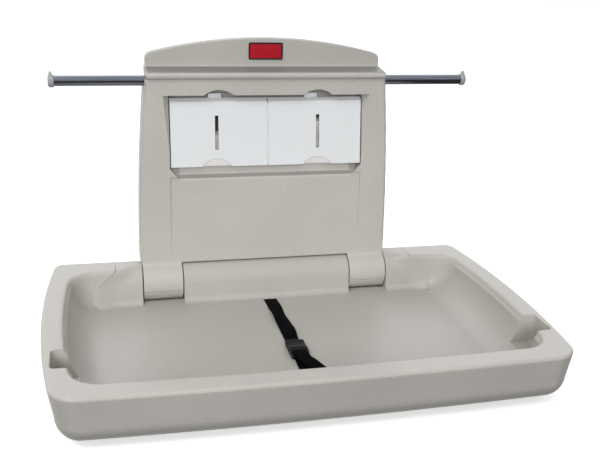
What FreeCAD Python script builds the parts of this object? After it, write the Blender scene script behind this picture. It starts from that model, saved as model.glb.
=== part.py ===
"""Wall-mounted fold-down baby changing station.

Millimetres. +X is to the viewer's right, +Y goes into the wall and +Z is up. The origin
is the centre of the four wall screws, on the wall's face. Names that end in _above are
heights above the tray's rim when the tray is open.
"""
import FreeCAD, Part
import math
import os
import re

import Sketcher
from FreeCAD import Placement, Rotation, Vector

doc = FreeCAD.newDocument("changing_station")

# Driving sizes
SIZES = {
    "tray_width": (844.5, "tray, across its widest line"),
    "tray_depth": (546, "tray, rear edge to front edge"),
    "tray_height": (86, "tray, rim to underside"),
    "side_bulge": (14.75, "widest line stands out past the rear corners, each side"),
    "bulge_back": (238, "widest line, from the rear edge"),
    "front_bow": (10, "front edge bows out at its middle"),
    "front_corner": (46, "plan radius of the front corners"),
    "rear_corner": (20, "plan radius of the rear corners"),
    "tray_draft": (8, "sides and front lean in by this before they round under"),
    "foot_round": (40, "radius under the sides and front"),
    "rear_draft": (2, "rear wall leans in by this"),
    "rear_foot": (16, "radius under the rear wall"),
    "rim_round": (5, "radius of the rim's outer edge"),
    "shell_wall": (4, "wall of the tray's mouldings"),
    "rim_side": (37, "rim width at the sides"),
    "rim_front": (45, "rim width at the front"),
    "basin_depth": (70, "floor below the rim"),
    "basin_round": (58, "radius between floor and side walls"),
    "basin_lip": (7, "radius of the rim's inner edge"),
    "basin_draft": (4, "basin walls lean in by this"),
    "basin_corner": (50, "plan radius of the basin's corners"),
    "floor_corner": (34, "plan radius of the basin floor's corners"),
    "rear_fillet": (12, "radius between floor and rear wall"),
    "hinge_drop": (37, "hinge axis below the rim"),
    "hinge_inset": (20, "hinge axis in front of the tray's rear edge"),
    "closed_gap": (16, "rim to wall when the tray is folded up"),
    "rim_drop": (170, "rim below the centre of the wall screws"),
    "roll_radius": (36.5, "radius of the rear roll and of the hinge knuckles"),
    "roll_half": (294, "half the roll's length along its top"),
    "roll_flare": (40, "roll's ends run out by this down to the axis"),
    "roll_draft_deg": (3, "lean of the wall under the roll"),
    "knuckle_inset": (35.2, "knuckle's inner face, in from the wall screws"),
    "knuckle_width": (75, "width of a hinge knuckle"),
    "knuckle_gap": (2, "running gap at a knuckle's sides"),
    "barrel_gap": (3, "running gap round a knuckle's barrel"),
    "crease_deg": (16, "seam of the knuckle's cap, below the axis"),
    "pin_radius": (5, "hinge pin"),
    "pin_run": (0.05, "radial running clearance of a pin"),
    "lug_wall": (5, "thickness of the steel lugs"),
    "lug_radius": (13, "radius of a lug's eye"),
    "bush_wall": (2, "wall of a hinge bush"),
    "arm_reach": (190, "tray bracket's plate, front edge from the axis"),
    "arm_wall": (4, "thickness of the tray bracket's plate"),
    "seat_gap": (0.4, "gap between pieces that lie against each other"),
    "bar_inset": (23.25, "bag bar's ends, in from the tray's widest line"),
    "bar_radius": (9.5, "bag bar"),
    "bar_wall": (1.5, "wall of the bar's tube"),
    "bar_drop": (4, "bar's axis below the brow's lower edge"),
    "bar_out": (47, "bar's axis from the wall"),
    "bar_clear": (0.5, "gap round the bar in the panel's sides"),
    "hook_width": (11, "end hook, along the bar"),
    "hook_depth": (22, "end hook, front to back"),
    "hook_up": (17, "end hook's ear above the bar's axis"),
    "hook_down": (12.5, "end hook below the bar's axis"),
    "notch_length": (63, "bar notch in the tray's rim, along the rim"),
    "notch_depth": (50, "bar notch below the rim"),
    "notch_clear": (3, "bar notch past the end of the bar"),
    "notch_round": (8, "corner radius of the bar notch"),
    "panel_out": (63, "panel's face from the wall"),
    "panel_wall": (3.5, "wall of the panel's moulding"),
    "panel_foot_past": (42.8, "panel's sides at its foot, out past the wall screws"),
    "panel_top_past": (26.8, "panel's sides under the brow, out past the wall screws"),
    "panel_bow": (4.3, "panel's sides bow out by this"),
    "panel_foot_above": (2, "panel's lower edge"),
    "panel_round": (8, "radius of the panel's long edges"),
    "header_out": (22, "header's face from the wall"),
    "header_past": (22.8, "header's ends, out past the wall screws"),
    "header_rise": (52, "top of the arch over the ledge"),
    "arch_rise": (29, "rise of the arch"),
    "header_corner": (14, "radius of the header's corners"),
    "ledge_slope": (5.5, "ledge falls by this from the header to its front edge"),
    "brow_out": (70, "brow's front from the wall"),
    "brow_past": (24.8, "brow's ends, out past the wall screws"),
    "brow_low_above": (356, "brow's lower edge"),
    "brow_height": (13.5, "brow's front"),
    "well_inset": (16.2, "liner well's sides, in from the wall screws"),
    "well_drop": (30, "upper edge of the liner well below the brow"),
    "well_height": (138, "liner well, over the ledge that the liners stand on"),
    "well_flare": (12.5, "well's mouth is wider than the well by this, at its top"),
    "well_flare_deep": (18, "depth of the flared cheek at its top"),
    "well_back": (14, "back of the liner well from the wall"),
    "trough_drop": (19, "pad's upper lip below the liners' ledge"),
    "gutter_drop": (6, "bottom of the trough below the pad's lip"),
    "lip_round": (5, "radius of the pad's lip"),
    "trough_taper": (22, "trough's ends slope in by this"),
    "pad_set_back": (2.5, "pad behind the stiles, at its top"),
    "scallop_width": (56, "finger scallop over a door"),
    "scallop_rise": (10, "height of the finger scallop"),
    "scallop_deep": (36, "depth of the finger scallop"),
    "door_play": (1.75, "gap between a liner door and the well's side"),
    "door_height": (122, "liner door, to its upper front edge"),
    "door_deep": (14, "liner door, front to back"),
    "door_wall": (2.5, "wall of a liner door"),
    "door_bevel_up": (7, "bevel along the door's top, upwards"),
    "door_bevel_back": (10, "bevel along the door's top, backwards"),
    "door_lean_deg": (6.5, "door leans back"),
    "door_seam": (1.5, "gap between the two doors"),
    "door_lift": (3.5, "door's lower front edge over the liners' ledge"),
    "door_proud": (1, "door's lower edge in front of the panel's face"),
    "door_rim_inset": (4, "door's side rims behind its edges"),
    "door_round": (2, "radius of the door's front edges"),
    "tab_width": (25, "finger tab"),
    "tab_height": (8, "finger tab"),
    "tab_wall": (3, "finger tab"),
    "tab_shift": (7, "tab stands left of the door's middle"),
    "sight_shift": (5, "sight slot and half-moon stand outward of the door's middle"),
    "slot_width": (6.5, "sight slot"),
    "slot_length": (64, "sight slot"),
    "slot_foot": (32, "sight slot above the door's lower edge"),
    "moon_width": (56, "half-moon cut-out in the door's lower edge"),
    "moon_rise": (15, "height of the half-moon"),
    "door_pin_radius": (2, "door pivot pin"),
    "door_pin_up": (8, "door pivot above the door's lower edge"),
    "door_pin_back": (8, "door pivot behind the door's face"),
    "liner_thick": (18, "stack of paper liners"),
    "liner_play": (24.5, "stack of paper liners is narrower than its door by this"),
    "liner_left_height": (62, "left stack"),
    "liner_right_height": (86, "right stack"),
    "liner_toe": (9, "height of the liner that is drawn to the half-moon"),
    "plate_past": (9.8, "steel back plate's sides, out past the wall screws"),
    "plate_wall": (3, "steel back plate"),
    "plate_drop": (35, "top of the back plate below the top of the arch"),
    "plate_foot_above": (24, "foot of the back plate"),
    "screw_span_x": (406.4, "wall screws, centre to centre across"),
    "screw_span_z": (254, "wall screws, centre to centre up"),
    "wall_hole_radius": (3.5, "wall screw hole"),
    "bracket_wall": (4, "wall bracket's flange"),
    "bracket_top_above": (112, "top of the wall bracket's flange"),
    "strap_width": (25, "webbing"),
    "strap_thick": (1.6, "webbing"),
    "strap_rear_y": (-106, "rear strap slot"),
    "strap_front_y": (-468, "front strap slot"),
    "slot_gap": (3, "strap slot round the webbing"),
    "buckle_y": (-343, "middle of the buckle"),
    "buckle_width": (34, "buckle"),
    "buckle_length": (34, "buckle's socket"),
    "buckle_thick": (11, "buckle"),
    "plug_length": (24, "buckle's plug, outside the socket"),
    "tail_shift": (22.5, "free end of the strap lies right of the middle"),
    "tail_start": (6.6, "tail over the middle of the strap, at the buckle"),
    "tail_rest": (3, "tail over the middle of the strap, at its end"),
    "cover_wall": (4, "tray's underside cover"),
    "cover_inset": (54, "underside cover, in from the rim's outer edge"),
    "cover_ledge": (16, "ledge that carries the underside cover"),
    "cover_gap": (0.5, "gap round the underside cover"),
    "rail_width": (26, "pressed rib on the underside cover"),
    "rail_rise": (2.5, "pressed rib on the underside cover"),
    "plate_length": (66, "blank plate on the header"),
    "plate_height": (32, "blank plate on the header"),
    "plate_thick": (2, "blank plate on the header"),
    "sign_lift": (28, "middle of the blank plate over the ledge"),
    "sign_corner": (3, "corner radius of the blank plate"),
    "bolt_radius": (2.5, "bolts of the tray's brackets"),
    "cover_screw_radius": (2, "screws of the underside cover"),
    "rivet_radius": (3, "rivets of the wall brackets"),
    "rivet_head": (2.2, "height of a rivet's head"),
    "rivet_over": (40, "lower rivets over the back plate's foot"),
    "rivet_under": (12, "upper rivets below the bracket's top"),
    "rivet_pitch": (24, "rivets, centre to centre across"),
    "panel_screw_radius": (2, "screws of the panel"),
    "upper_boss_at": (150, "panel's upper screw bosses from the middle"),
    "lower_boss_at": (60, "panel's lower screw bosses from the middle"),
    "upper_boss_over": (8, "upper bosses over the ledge's front edge"),
    "lower_boss_over": (55, "lower bosses over the back plate's foot"),
    "boss_radius": (6, "panel's screw bosses"),
    "boss_bore": (12, "depth of a boss's hole"),
    "panel_screw_reach": (14, "length of a panel screw"),
    "cap_screw_radius": (2, "screws of the knuckle caps"),
    "saddle_width": (12, "bar saddle, along the bar"),
    "saddle_inset": (7, "bar saddle's middle, in from the back plate's side"),
    "saddle_wall": (2.5, "bar saddle round the bar"),
    "saddle_screw_radius": (2, "screws of the bar saddles"),
    "saddle_screw_reach": (20, "length of a saddle screw"),
    "anchor_wall": (2, "strap anchor plate"),
    "anchor_length": (40, "strap anchor plate, across"),
    "anchor_depth": (16, "strap anchor plate, front to back"),
    "strap_fold": (6, "end of the webbing folded under its anchor"),
    "tail_length": (58, "free end of the webbing"),
    "prong_width": (5, "buckle's spring arms"),
    "prong_length": (20, "buckle's spring arms"),
    "buckle_wall": (2, "wall of the buckle's socket"),
    "head_height": (1.8, "heads of the panel's and the saddles' screws"),
    "head_gap": (0.2, "gap round a sunk screw head"),
    "least_corner": (4, "smallest plan radius inside the tray"),
}
sheet = doc.addObject("Spreadsheet::Sheet", "Sizes")
for row, (alias, (amount, note)) in enumerate(SIZES.items(), 1):
    sheet.set(f"A{row}", note)
    sheet.set(f"B{row}", str(amount))
    sheet.setAlias(f"B{row}", alias)
places = doc.addObject("App::VarSet", "Places")
doc.recompute()


def formula(text):
    """An expression whose words are the sheet's sizes and the places worked out from them."""
    def owner(word):
        name = word.group(0)
        if name in SIZES:
            return f"Sizes.{name}"
        if name in places.PropertiesList:
            return f"Places.{name}"
        return name
    return re.sub(r"[a-z][a-z_]*", owner, text)


def bind(thing, prop, text):
    thing.setExpression(prop, formula(text))


def place(name, text):
    """Adds a value that is worked out from the sheet."""
    places.addProperty("App::PropertyFloat", name)
    bind(places, name, text)


def value(name):
    return float(getattr(sheet if name in SIZES else places, name))


# Places that several pieces share
place("beyond", "2 * (tray_width + tray_depth)")
place("rim_z", "-rim_drop")
place("axis_y", "-(hinge_drop + closed_gap)")
place("axis_z", "rim_z - hinge_drop")
place("rear_y", "axis_y + hinge_inset")
place("front_y", "rear_y - tray_depth")
place("floor_z", "rim_z - basin_depth")
place("under_z", "rim_z - tray_height")
place("floor_under_z", "floor_z - shell_wall")
place("cover_top_z", "under_z + cover_wall")
place("ledge_top_z", "cover_top_z + cover_wall - 1")
place("knuckle_inner", "screw_span_x / 2 - knuckle_inset")
place("knuckle_outer", "knuckle_inner + knuckle_width")
place("panel_half_foot", "screw_span_x / 2 + panel_foot_past")
place("panel_half_top", "screw_span_x / 2 + panel_top_past")
place("header_half", "screw_span_x / 2 + header_past")
place("brow_half", "screw_span_x / 2 + brow_past")
place("well_half", "screw_span_x / 2 - well_inset")
place("plate_half", "screw_span_x / 2 + plate_past")
place("saddle_at", "plate_half - saddle_inset")
place("ledge_front_above", "brow_low_above + brow_height")
place("ledge_back_above", "ledge_front_above + ledge_slope")
place("header_top_above", "ledge_back_above + header_rise")
place("plate_top_above", "header_top_above - plate_drop")
place("sign_above", "ledge_back_above + sign_lift")
place("bar_above", "brow_low_above - bar_drop")
place("well_top_above", "brow_low_above - well_drop")
place("trough_top_above", "well_top_above - well_height")
place("lip_above", "trough_top_above - trough_drop")
place("trough_low_above", "lip_above - gutter_drop")
place("door_foot_above", "trough_top_above + door_lift")
place("door_width", "well_half - door_seam / 2 - door_play")
place("liner_width", "door_width - liner_play")
place("panel_foot_z", "rim_z + panel_foot_above")
place("bar_z", "rim_z + bar_above")
place("bar_half", "tray_width / 2 - bar_inset")
place("bar_length", "2 * bar_half")
place("notch_y", "axis_y - (bar_z - axis_z)")
place("door_foot_z", "rim_z + door_foot_above")
place("door_face_y", "-(panel_out + door_proud)")
place("door_middle", "(door_seam + door_width) / 2 + 2")
place("sight_middle", "(door_seam + door_width) / 2 + sight_shift")
place("door_pivot_y",
      "door_face_y + door_pin_back * cos(door_lean_deg) + door_pin_up * sin(door_lean_deg)")
place("door_pivot_z",
      "door_foot_z + door_pin_up * cos(door_lean_deg) - door_pin_back * sin(door_lean_deg)")
place("bracket_foot_z", "axis_z - lug_radius - 2 * bracket_wall")
place("strap_z", "floor_z + seat_gap")
place("arm_top_z", "floor_under_z - seat_gap")
place("tray_lug_inner", "knuckle_inner - knuckle_gap - shell_wall - seat_gap - lug_wall")
place("tray_lug_outer", "knuckle_outer + knuckle_gap + shell_wall + seat_gap")
place("wall_lug_inner", "knuckle_inner + panel_wall + seat_gap")
place("wall_lug_outer", "knuckle_outer - panel_wall - seat_gap - lug_wall")
place("pin_low", "tray_lug_inner - 6")
place("pin_high", "tray_lug_outer + lug_wall + 6")
doc.recompute()

nodes = {}


def keep(label, thing):
    """Makes an object one of the part's nodes."""
    thing.Label = label
    nodes[label] = thing
    return thing


def feature(label, shape):
    thing = doc.addObject("Part::Feature", label)
    thing.Shape = shape
    thing.Placement = Placement()
    return keep(label, thing)


def block(name, x, y, z):
    """A box between pairs of formulas along each axis."""
    box = doc.addObject("Part::Box", name)
    for side, axis, (low, high) in zip(("Length", "Width", "Height"), "xyz", (x, y, z)):
        bind(box, side, f"({high}) - ({low})")
        bind(box, f"Placement.Base.{axis}", low)
    return box


TURN = {
    "x": Rotation(Vector(0, 1, 0), 90),
    "y": Rotation(Vector(1, 0, 0), -90),
    "z": Rotation(),
}


def rod(name, along, radius, start, length):
    """A cylinder along an axis, from a start point given as three formulas."""
    cylinder = doc.addObject("Part::Cylinder", name)
    bind(cylinder, "Radius", radius)
    bind(cylinder, "Height", length)
    cylinder.Placement = Placement(Vector(), TURN[along])
    for axis, text in zip("xyz", start):
        bind(cylinder, f"Placement.Base.{axis}", text)
    return cylinder


def fuse(name, things):
    joined = doc.addObject("Part::MultiFuse", name)
    joined.Shapes = things
    return joined


def group(name, things):
    """Separate solids that share one node."""
    gathered = doc.addObject("Part::Compound", name)
    gathered.Links = things
    return gathered


def cut(name, base, tools):
    left = doc.addObject("Part::Cut", name)
    left.Base = base
    left.Tool = tools[0] if len(tools) == 1 else fuse(f"{name}_tools", tools)
    return left


def span(side, low, high):
    """A pair of formulas along X, mirrored for the left side."""
    return (low, high) if side > 0 else (f"-({high})", f"-({low})")


SIDES = (("left", -1), ("right", 1))


def path_wire(path, to_point):
    """A closed wire: a pair is a straight run to it, two pairs an arc through the first."""
    start = to_point(*path[0])
    here = start
    edges = []
    for step in path[1:]:
        if isinstance(step[0], tuple):
            middle, end = to_point(*step[0]), to_point(*step[1])
            edges.append(Part.Arc(here, middle, end).toShape())
        else:
            end = to_point(*step)
            edges.append(Part.LineSegment(here, end).toShape())
        here = end
    if here.distanceToPoint(start) > 1e-6:
        edges.append(Part.LineSegment(here, start).toShape())
    return Part.Wire(edges)


def prism_x(path, low, high):
    """A section in Y and Z, run along X."""
    wire = path_wire(path, lambda y, z: Vector(low, y, z))
    solid = Part.Face(wire).extrude(Vector(high - low, 0, 0))
    if solid.Volume < 0:
        solid.reverse()
    return solid


def prism_y(path, low, high):
    """An outline in X and Z, run along Y."""
    wire = path_wire(path, lambda x, z: Vector(x, low, z))
    solid = Part.Face(wire).extrude(Vector(0, high - low, 0))
    if solid.Volume < 0:
        solid.reverse()
    return solid


def slab(x, y, z):
    corner = Vector(x[0], y[0], z[0])
    return Part.makeBox(x[1] - x[0], y[1] - y[0], z[1] - z[0], corner)


def level(low, high):
    """Everything between two heights."""
    beyond = value("beyond")
    return slab((-beyond, beyond), (-beyond, beyond), (low, high))


def hinge_line(radius, y, z):
    """A cutter along X, longer than the part is wide."""
    beyond = value("beyond")
    return Part.makeCylinder(radius, 2 * beyond, Vector(-beyond, y, z), X)


def round_edges(shape, radius, wanted):
    """Rounds the edges that the test picks."""
    return shape.makeFillet(radius, [edge for edge in shape.Edges if wanted(edge)])


def along(edge, axis):
    """Whether a straight edge runs along an axis."""
    if edge.Curve.TypeId != "Part::GeomLine":
        return False
    return abs(abs(edge.Curve.Direction.dot(axis)) - 1) < 1e-6


X, Y, Z = Vector(1, 0, 0), Vector(0, 1, 0), Vector(0, 0, 1)


# A drawing's corners start on a circle, and formulas then put them in their places
START_RADIUS = 100


def sketch(body, role, points, offset="0"):
    """A closed polygon on one of the body's own planes, each corner set by two formulas."""
    plane = next(part for part in body.Origin.OriginFeatures if part.Role == role)
    drawing = body.newObject("Sketcher::SketchObject", f"{body.Name}_sketch")
    drawing.AttachmentSupport = [(plane, "")]
    drawing.MapMode = "FlatFace"
    bind(drawing, "AttachmentOffset.Base.z", offset)
    count = len(points)
    for index in range(count):
        turn = 2 * math.pi * index / count
        after = 2 * math.pi * (index + 1) / count
        start = Vector(math.cos(turn), math.sin(turn), 0) * START_RADIUS
        end = Vector(math.cos(after), math.sin(after), 0) * START_RADIUS
        drawing.addGeometry(Part.LineSegment(start, end), False)
    for index in range(count):
        drawing.addConstraint(Sketcher.Constraint("Coincident", index, 2, (index + 1) % count, 1))
    for index, corner in enumerate(points):
        for kind, text in zip(("DistanceX", "DistanceY"), corner):
            number = drawing.addConstraint(Sketcher.Constraint(kind, -1, 1, index, 1, 1.0))
            bind(drawing, f"Constraints[{number}]", text)
    return drawing


def circle(body, role, across, up, radius, offset):
    """A circle on one of the body's own planes."""
    plane = next(part for part in body.Origin.OriginFeatures if part.Role == role)
    drawing = body.newObject("Sketcher::SketchObject", f"{body.Name}_circle")
    drawing.AttachmentSupport = [(plane, "")]
    drawing.MapMode = "FlatFace"
    bind(drawing, "AttachmentOffset.Base.z", offset)
    drawing.addGeometry(Part.Circle(Vector(10, 10, 0), Z, 5), False)
    for kind, text in (("DistanceX", across), ("DistanceY", up)):
        number = drawing.addConstraint(Sketcher.Constraint(kind, -1, 1, 0, 3, 1.0))
        bind(drawing, f"Constraints[{number}]", text)
    number = drawing.addConstraint(Sketcher.Constraint("Radius", 0, 1.0))
    bind(drawing, f"Constraints[{number}]", radius)
    return drawing


def rectangle(x, y):
    return [(x[0], y[0]), (x[1], y[0]), (x[1], y[1]), (x[0], y[1])]


def pad(body, drawing, length, reverse=False):
    grown = body.newObject("PartDesign::Pad", f"{body.Name}_pad")
    grown.Profile = drawing
    bind(grown, "Length", length)
    grown.Reversed = reverse
    doc.recompute()
    return grown


def pocket(body, drawing, length, reverse=False):
    """Cuts a sketch into the body, and makes sure that it did."""
    before = body.Shape.Volume
    taken = body.newObject("PartDesign::Pocket", f"{body.Name}_pocket")
    taken.Profile = drawing
    bind(taken, "Length", length)
    taken.Reversed = reverse
    doc.recompute()
    if body.Shape.Volume > before - 1e-6:
        raise RuntimeError(f"{body.Name}: a pocket cuts nothing")
    return taken


# The tray's plan: a straight rear edge, bowed sides, a slightly bowed front
def tray_outline(z, side, front, rear, front_corner, rear_corner):
    """The tray's plan outline, moved in by an amount at the sides, the front and the rear."""
    bulge_y = value("rear_y") - value("bulge_back")
    bulge = value("side_bulge")
    side_arc = (bulge ** 2 + value("bulge_back") ** 2) / (2 * bulge)
    half = value("tray_width") / 2
    bow = value("front_bow")
    front_arc = (half ** 2 + bow ** 2) / (2 * bow)
    side_centre = Vector(half - side_arc, bulge_y, z)
    front_centre = Vector(0, value("front_y") + front_arc, z)
    side_arc -= side
    front_arc -= front
    rear_line = value("rear_y") - rear

    rear_y = rear_line - rear_corner
    reach = math.sqrt((side_arc - rear_corner) ** 2 - (rear_y - bulge_y) ** 2)
    rear_middle = Vector(side_centre.x + reach, rear_y, z)

    near, far = side_arc - front_corner, front_arc - front_corner
    between = front_centre - side_centre
    apart = between.Length
    run = (near ** 2 - far ** 2 + apart ** 2) / (2 * apart)
    rise = math.sqrt(near ** 2 - run ** 2)
    between.normalize()
    front_middle = side_centre + between * run + Vector(between.y, -between.x, 0) * rise

    def out_from(centre, towards, radius):
        direction = Vector(towards)
        return centre + direction.normalize() * radius

    a = Vector(rear_middle.x, rear_line, z)
    b = out_from(side_centre, rear_middle - side_centre, side_arc)
    c = out_from(side_centre, front_middle - side_centre, side_arc)
    d = out_from(front_centre, front_middle - front_centre, front_arc)
    a_b = out_from(rear_middle, (a - rear_middle) + (b - rear_middle), rear_corner)
    b_c = out_from(side_centre, (b - side_centre) + (c - side_centre), side_arc)
    c_d = out_from(front_middle, (c - front_middle) + (d - front_middle), front_corner)
    nose = Vector(0, front_centre.y - front_arc, z)

    def left(point):
        return Vector(-point.x, point.y, point.z)

    edges = [
        Part.LineSegment(left(a), a),
        Part.Arc(a, a_b, b),
        Part.Arc(b, b_c, c),
        Part.Arc(c, c_d, d),
        Part.Arc(d, nose, left(d)),
        Part.Arc(left(d), left(c_d), left(c)),
        Part.Arc(left(c), left(b_c), left(b)),
        Part.Arc(left(b), left(a_b), left(a)),
    ]
    return Part.Wire([edge.toShape() for edge in edges])


ARC_STEPS = 8


def rise(wire, height):
    """A solid that goes straight up from an outline."""
    solid = Part.Face(wire).extrude(Vector(0, 0, height))
    if solid.Volume < 0:
        solid.reverse()
    return solid


def loft(wires):
    """A solid through outlines that lie one under the other."""
    solid = Part.makeLoft(wires, True, True)
    if solid.Volume < 0:
        solid.reverse()
    return solid


def fall_in(radius, down):
    """How far a rounding has come in at a depth below its start."""
    return radius - math.sqrt(max(0, radius ** 2 - down ** 2))


def outer_tray(wall, top_z):
    """The tray's outside, moved in by a wall, from top_z down to the underside."""
    rim_z, height = value("rim_z"), value("tray_height")
    foot, draft = value("foot_round"), value("tray_draft")
    rear_foot, rear_draft = value("rear_foot"), value("rear_draft")
    straight = height - foot
    depths = [0, straight / 2, straight]
    depths += [straight + foot * math.sin(math.pi / 2 * step / ARC_STEPS)
               for step in range(1, ARC_STEPS + 1)]
    wires = []
    for depth in depths:
        under = max(0, depth - straight)
        rear_under = max(0, depth - (height - rear_foot))
        inset = draft * min(1, depth / straight) + fall_in(foot, under)
        rear = rear_draft * depth / height + fall_in(rear_foot, rear_under)
        z = rim_z - depth
        wires.append(tray_outline(
            z, inset + wall, inset + wall, rear + wall,
            max(value("front_corner") - inset - wall, value("least_corner")),
            max(value("rear_corner") - rear - wall, value("least_corner"))))
    solid = loft(wires)
    if top_z < rim_z:
        solid = solid.cut(level(top_z, rim_z + 1))
    return solid


def basin(wall):
    """The space inside the tray's basin, made larger by a wall."""
    rim_z, depth = value("rim_z"), value("basin_depth")
    lip, draft, radius = value("basin_lip"), value("basin_draft"), value("basin_round")
    rear_fillet = value("rear_fillet")
    rear_edge = value("roll_radius") + value("hinge_inset") + 1
    straight = depth - radius
    rear_lean = math.tan(math.radians(value("roll_draft_deg")))
    levels = [(lip * (1 - math.cos(turn)), -lip * (1 - math.sin(turn)))
              for turn in [math.pi / 8 * step for step in range(5)]]
    levels += [((lip + straight) / 2, draft / 2)]
    levels += [(straight + radius * math.sin(turn), draft + radius * (1 - math.cos(turn)))
               for turn in [math.pi / 2 * step / ARC_STEPS for step in range(ARC_STEPS + 1)]]
    wires = []
    for down, inset in levels:
        under = max(0, down - (depth - rear_fillet))
        rear = rear_edge + min(inset, 0) + down * rear_lean
        rear += fall_in(rear_fillet, under)
        corner = max(value("basin_corner") - inset, value("floor_corner"))
        z = rim_z - down
        if wall:
            z = z - wall * down / depth
        wires.append(tray_outline(
            z, value("rim_side") + inset - wall, value("rim_front") + inset - wall,
            rear - wall, corner, corner))
    solid = loft(wires)
    return solid.fuse(rise(wires[0], 2))


def roll_space(wall):
    """What the rear roll leaves free in front of it and over it, made larger by a wall."""
    axis_y, axis_z, rim_z = value("axis_y"), value("axis_z"), value("rim_z")
    radius = value("roll_radius") - wall
    lean = math.radians(value("roll_draft_deg"))
    floor_z = value("floor_z") - wall
    fillet = value("rear_fillet") + wall
    top = (axis_y, axis_z + radius)
    bend = (axis_y - radius * math.cos(math.pi / 4), axis_z + radius * math.sin(math.pi / 4))
    leave = (axis_y - radius * math.cos(lean), axis_z + radius * math.sin(lean))
    low_z = floor_z + fillet * (1 - math.sin(lean))
    low = (leave[0] - (leave[1] - low_z) * math.tan(lean), low_z)
    centre = (low[0] - fillet * math.cos(lean), floor_z + fillet)
    turn = math.radians(45)
    foot_bend = (centre[0] + fillet * math.sin(turn), centre[1] - fillet * math.cos(turn))
    foot = (centre[0], floor_z)
    ahead = foot[0] - fillet
    behind = value("rear_y") + 5
    section = [(behind, rim_z + 3), (behind, top[1]), top, (bend, leave), low, (foot_bend, foot),
               (ahead, floor_z), (ahead, rim_z + 3)]
    half, flare = value("roll_half") + wall, value("roll_flare")
    reach = half + flare
    space = prism_x(section, -reach - 20, reach + 20)
    ends = [(-half, rim_z + 5), (half, rim_z + 5), (half, rim_z), (reach, axis_z),
            (reach, floor_z - 5), (-reach, floor_z - 5), (-reach, axis_z), (-half, rim_z)]
    return space.common(prism_y(ends, -value("beyond"), value("beyond")))


def knuckle_space(side, wall):
    """The notch in the tray that a hinge knuckle turns in, open down to the floor, made larger by a wall."""
    gap = value("knuckle_gap") + wall
    low = value("knuckle_inner") - gap
    high = value("knuckle_outer") + gap
    start = low if side > 0 else -high
    radius = value("roll_radius") + value("barrel_gap") + wall
    axis_y, axis_z = value("axis_y"), value("axis_z")
    barrel = Part.makeCylinder(radius, high - low, Vector(start, axis_y, axis_z), X)
    behind = slab((start, start + high - low), (axis_y, value("rear_y") + 5),
                  (axis_z - radius, value("rim_z") + 3))
    ahead = axis_y - value("roll_radius") - 2 * value("rear_fillet") - wall
    before = slab((start, start + high - low), (ahead, axis_y), (value("floor_z") - wall, value("rim_z") + 3))
    return barrel.fuse([behind, before])


def bar_space(side, wall):
    """The notch in the rim that takes the end of the bag bar when the tray is folded up."""
    outer = value("bar_half") + value("notch_clear") + wall
    inner = value("tray_width") / 2 - value("rim_side") - 3 * value("notch_round")
    reach = value("notch_length") / 2 + wall
    low, high = (inner, outer) if side > 0 else (-outer, -inner)
    notch_y, rim_z = value("notch_y"), value("rim_z")
    box = slab((low, high), (notch_y - reach, notch_y + reach),
               (rim_z - value("notch_depth") - wall, rim_z + 2 + value("notch_round")))
    outside = outer if side > 0 else -outer
    box = round_edges(box, value("notch_round"),
                      lambda edge: abs(edge.CenterOfMass.x - outside) < 1e-3)
    return box


def tray_shell():
    """The moulded basin with its rim, roll and outer walls, hollow and open underneath."""
    rim_z, under_z = value("rim_z"), value("under_z")
    wall = value("shell_wall")
    outside = outer_tray(0, rim_z)
    outside = round_edges(outside, value("rim_round"),
                          lambda edge: abs(edge.BoundBox.ZMin - rim_z) < 1e-6)
    hollow = outer_tray(wall, rim_z - wall)
    hollow = hollow.cut(level(under_z - 1, value("ledge_top_z")))
    spaces = [basin(0), roll_space(0)]
    walls = [basin(wall), roll_space(wall)]
    for name, side in SIDES:
        spaces += [knuckle_space(side, 0), bar_space(side, 0)]
        walls += [knuckle_space(side, wall), bar_space(side, wall)]
    hollow = hollow.cut(walls)
    shell = outside.cut([hollow] + spaces)

    inset, ledge = value("cover_inset"), value("cover_ledge")
    corner = value("least_corner") + 8
    mouth = tray_outline(under_z - 1, inset + ledge, inset + ledge, inset + ledge, corner, corner)
    rebate = tray_outline(under_z - 1, inset, inset, inset, corner, corner)
    cuts = [rise(mouth, value("ledge_top_z") - under_z + 1.5), rise(rebate, value("cover_wall") + 1)]

    pin_hole = value("pin_radius") + 1
    for name, side in SIDES:
        low = value("pin_low") if side > 0 else -value("pin_high")
        reach = value("pin_high") - value("pin_low")
        start = Vector(low, value("axis_y"), value("axis_z"))
        cuts.append(Part.makeCylinder(pin_hole, reach, start, X))
    half = value("strap_width") / 2 + value("slot_gap") / 2
    deep = value("strap_thick") / 2 + value("slot_gap") / 2
    for y in (value("strap_rear_y"), value("strap_front_y")):
        cuts.append(slab((-half, half), (y - deep, y + deep),
                         (value("floor_under_z") - 1, value("floor_z") + 1)))
    for x, y in arm_bolt_places():
        cuts.append(Part.makeCylinder(value("bolt_radius"), value("shell_wall") - 1,
                                      Vector(x, y, value("floor_under_z")), Z))
    for x, y in cover_screw_places():
        cuts.append(Part.makeCylinder(value("cover_screw_radius"), value("cover_wall") + value("head_gap"),
                                      Vector(x, y, value("cover_top_z")), Z))
    return shell.cut(cuts).removeSplitter()


def arm_bolt_places():
    """Where each tray bracket's plate is bolted to the floor."""
    middle = value("knuckle_inner") + value("knuckle_width") / 2
    across = value("knuckle_width") / 2 + 2
    near = value("axis_y") - value("arm_reach") / 2 - 22
    far = value("axis_y") - value("arm_reach") + 14
    return [(side * middle + step * across, y)
            for name, side in SIDES for step in (-1, 1) for y in (near, far)]


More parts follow.
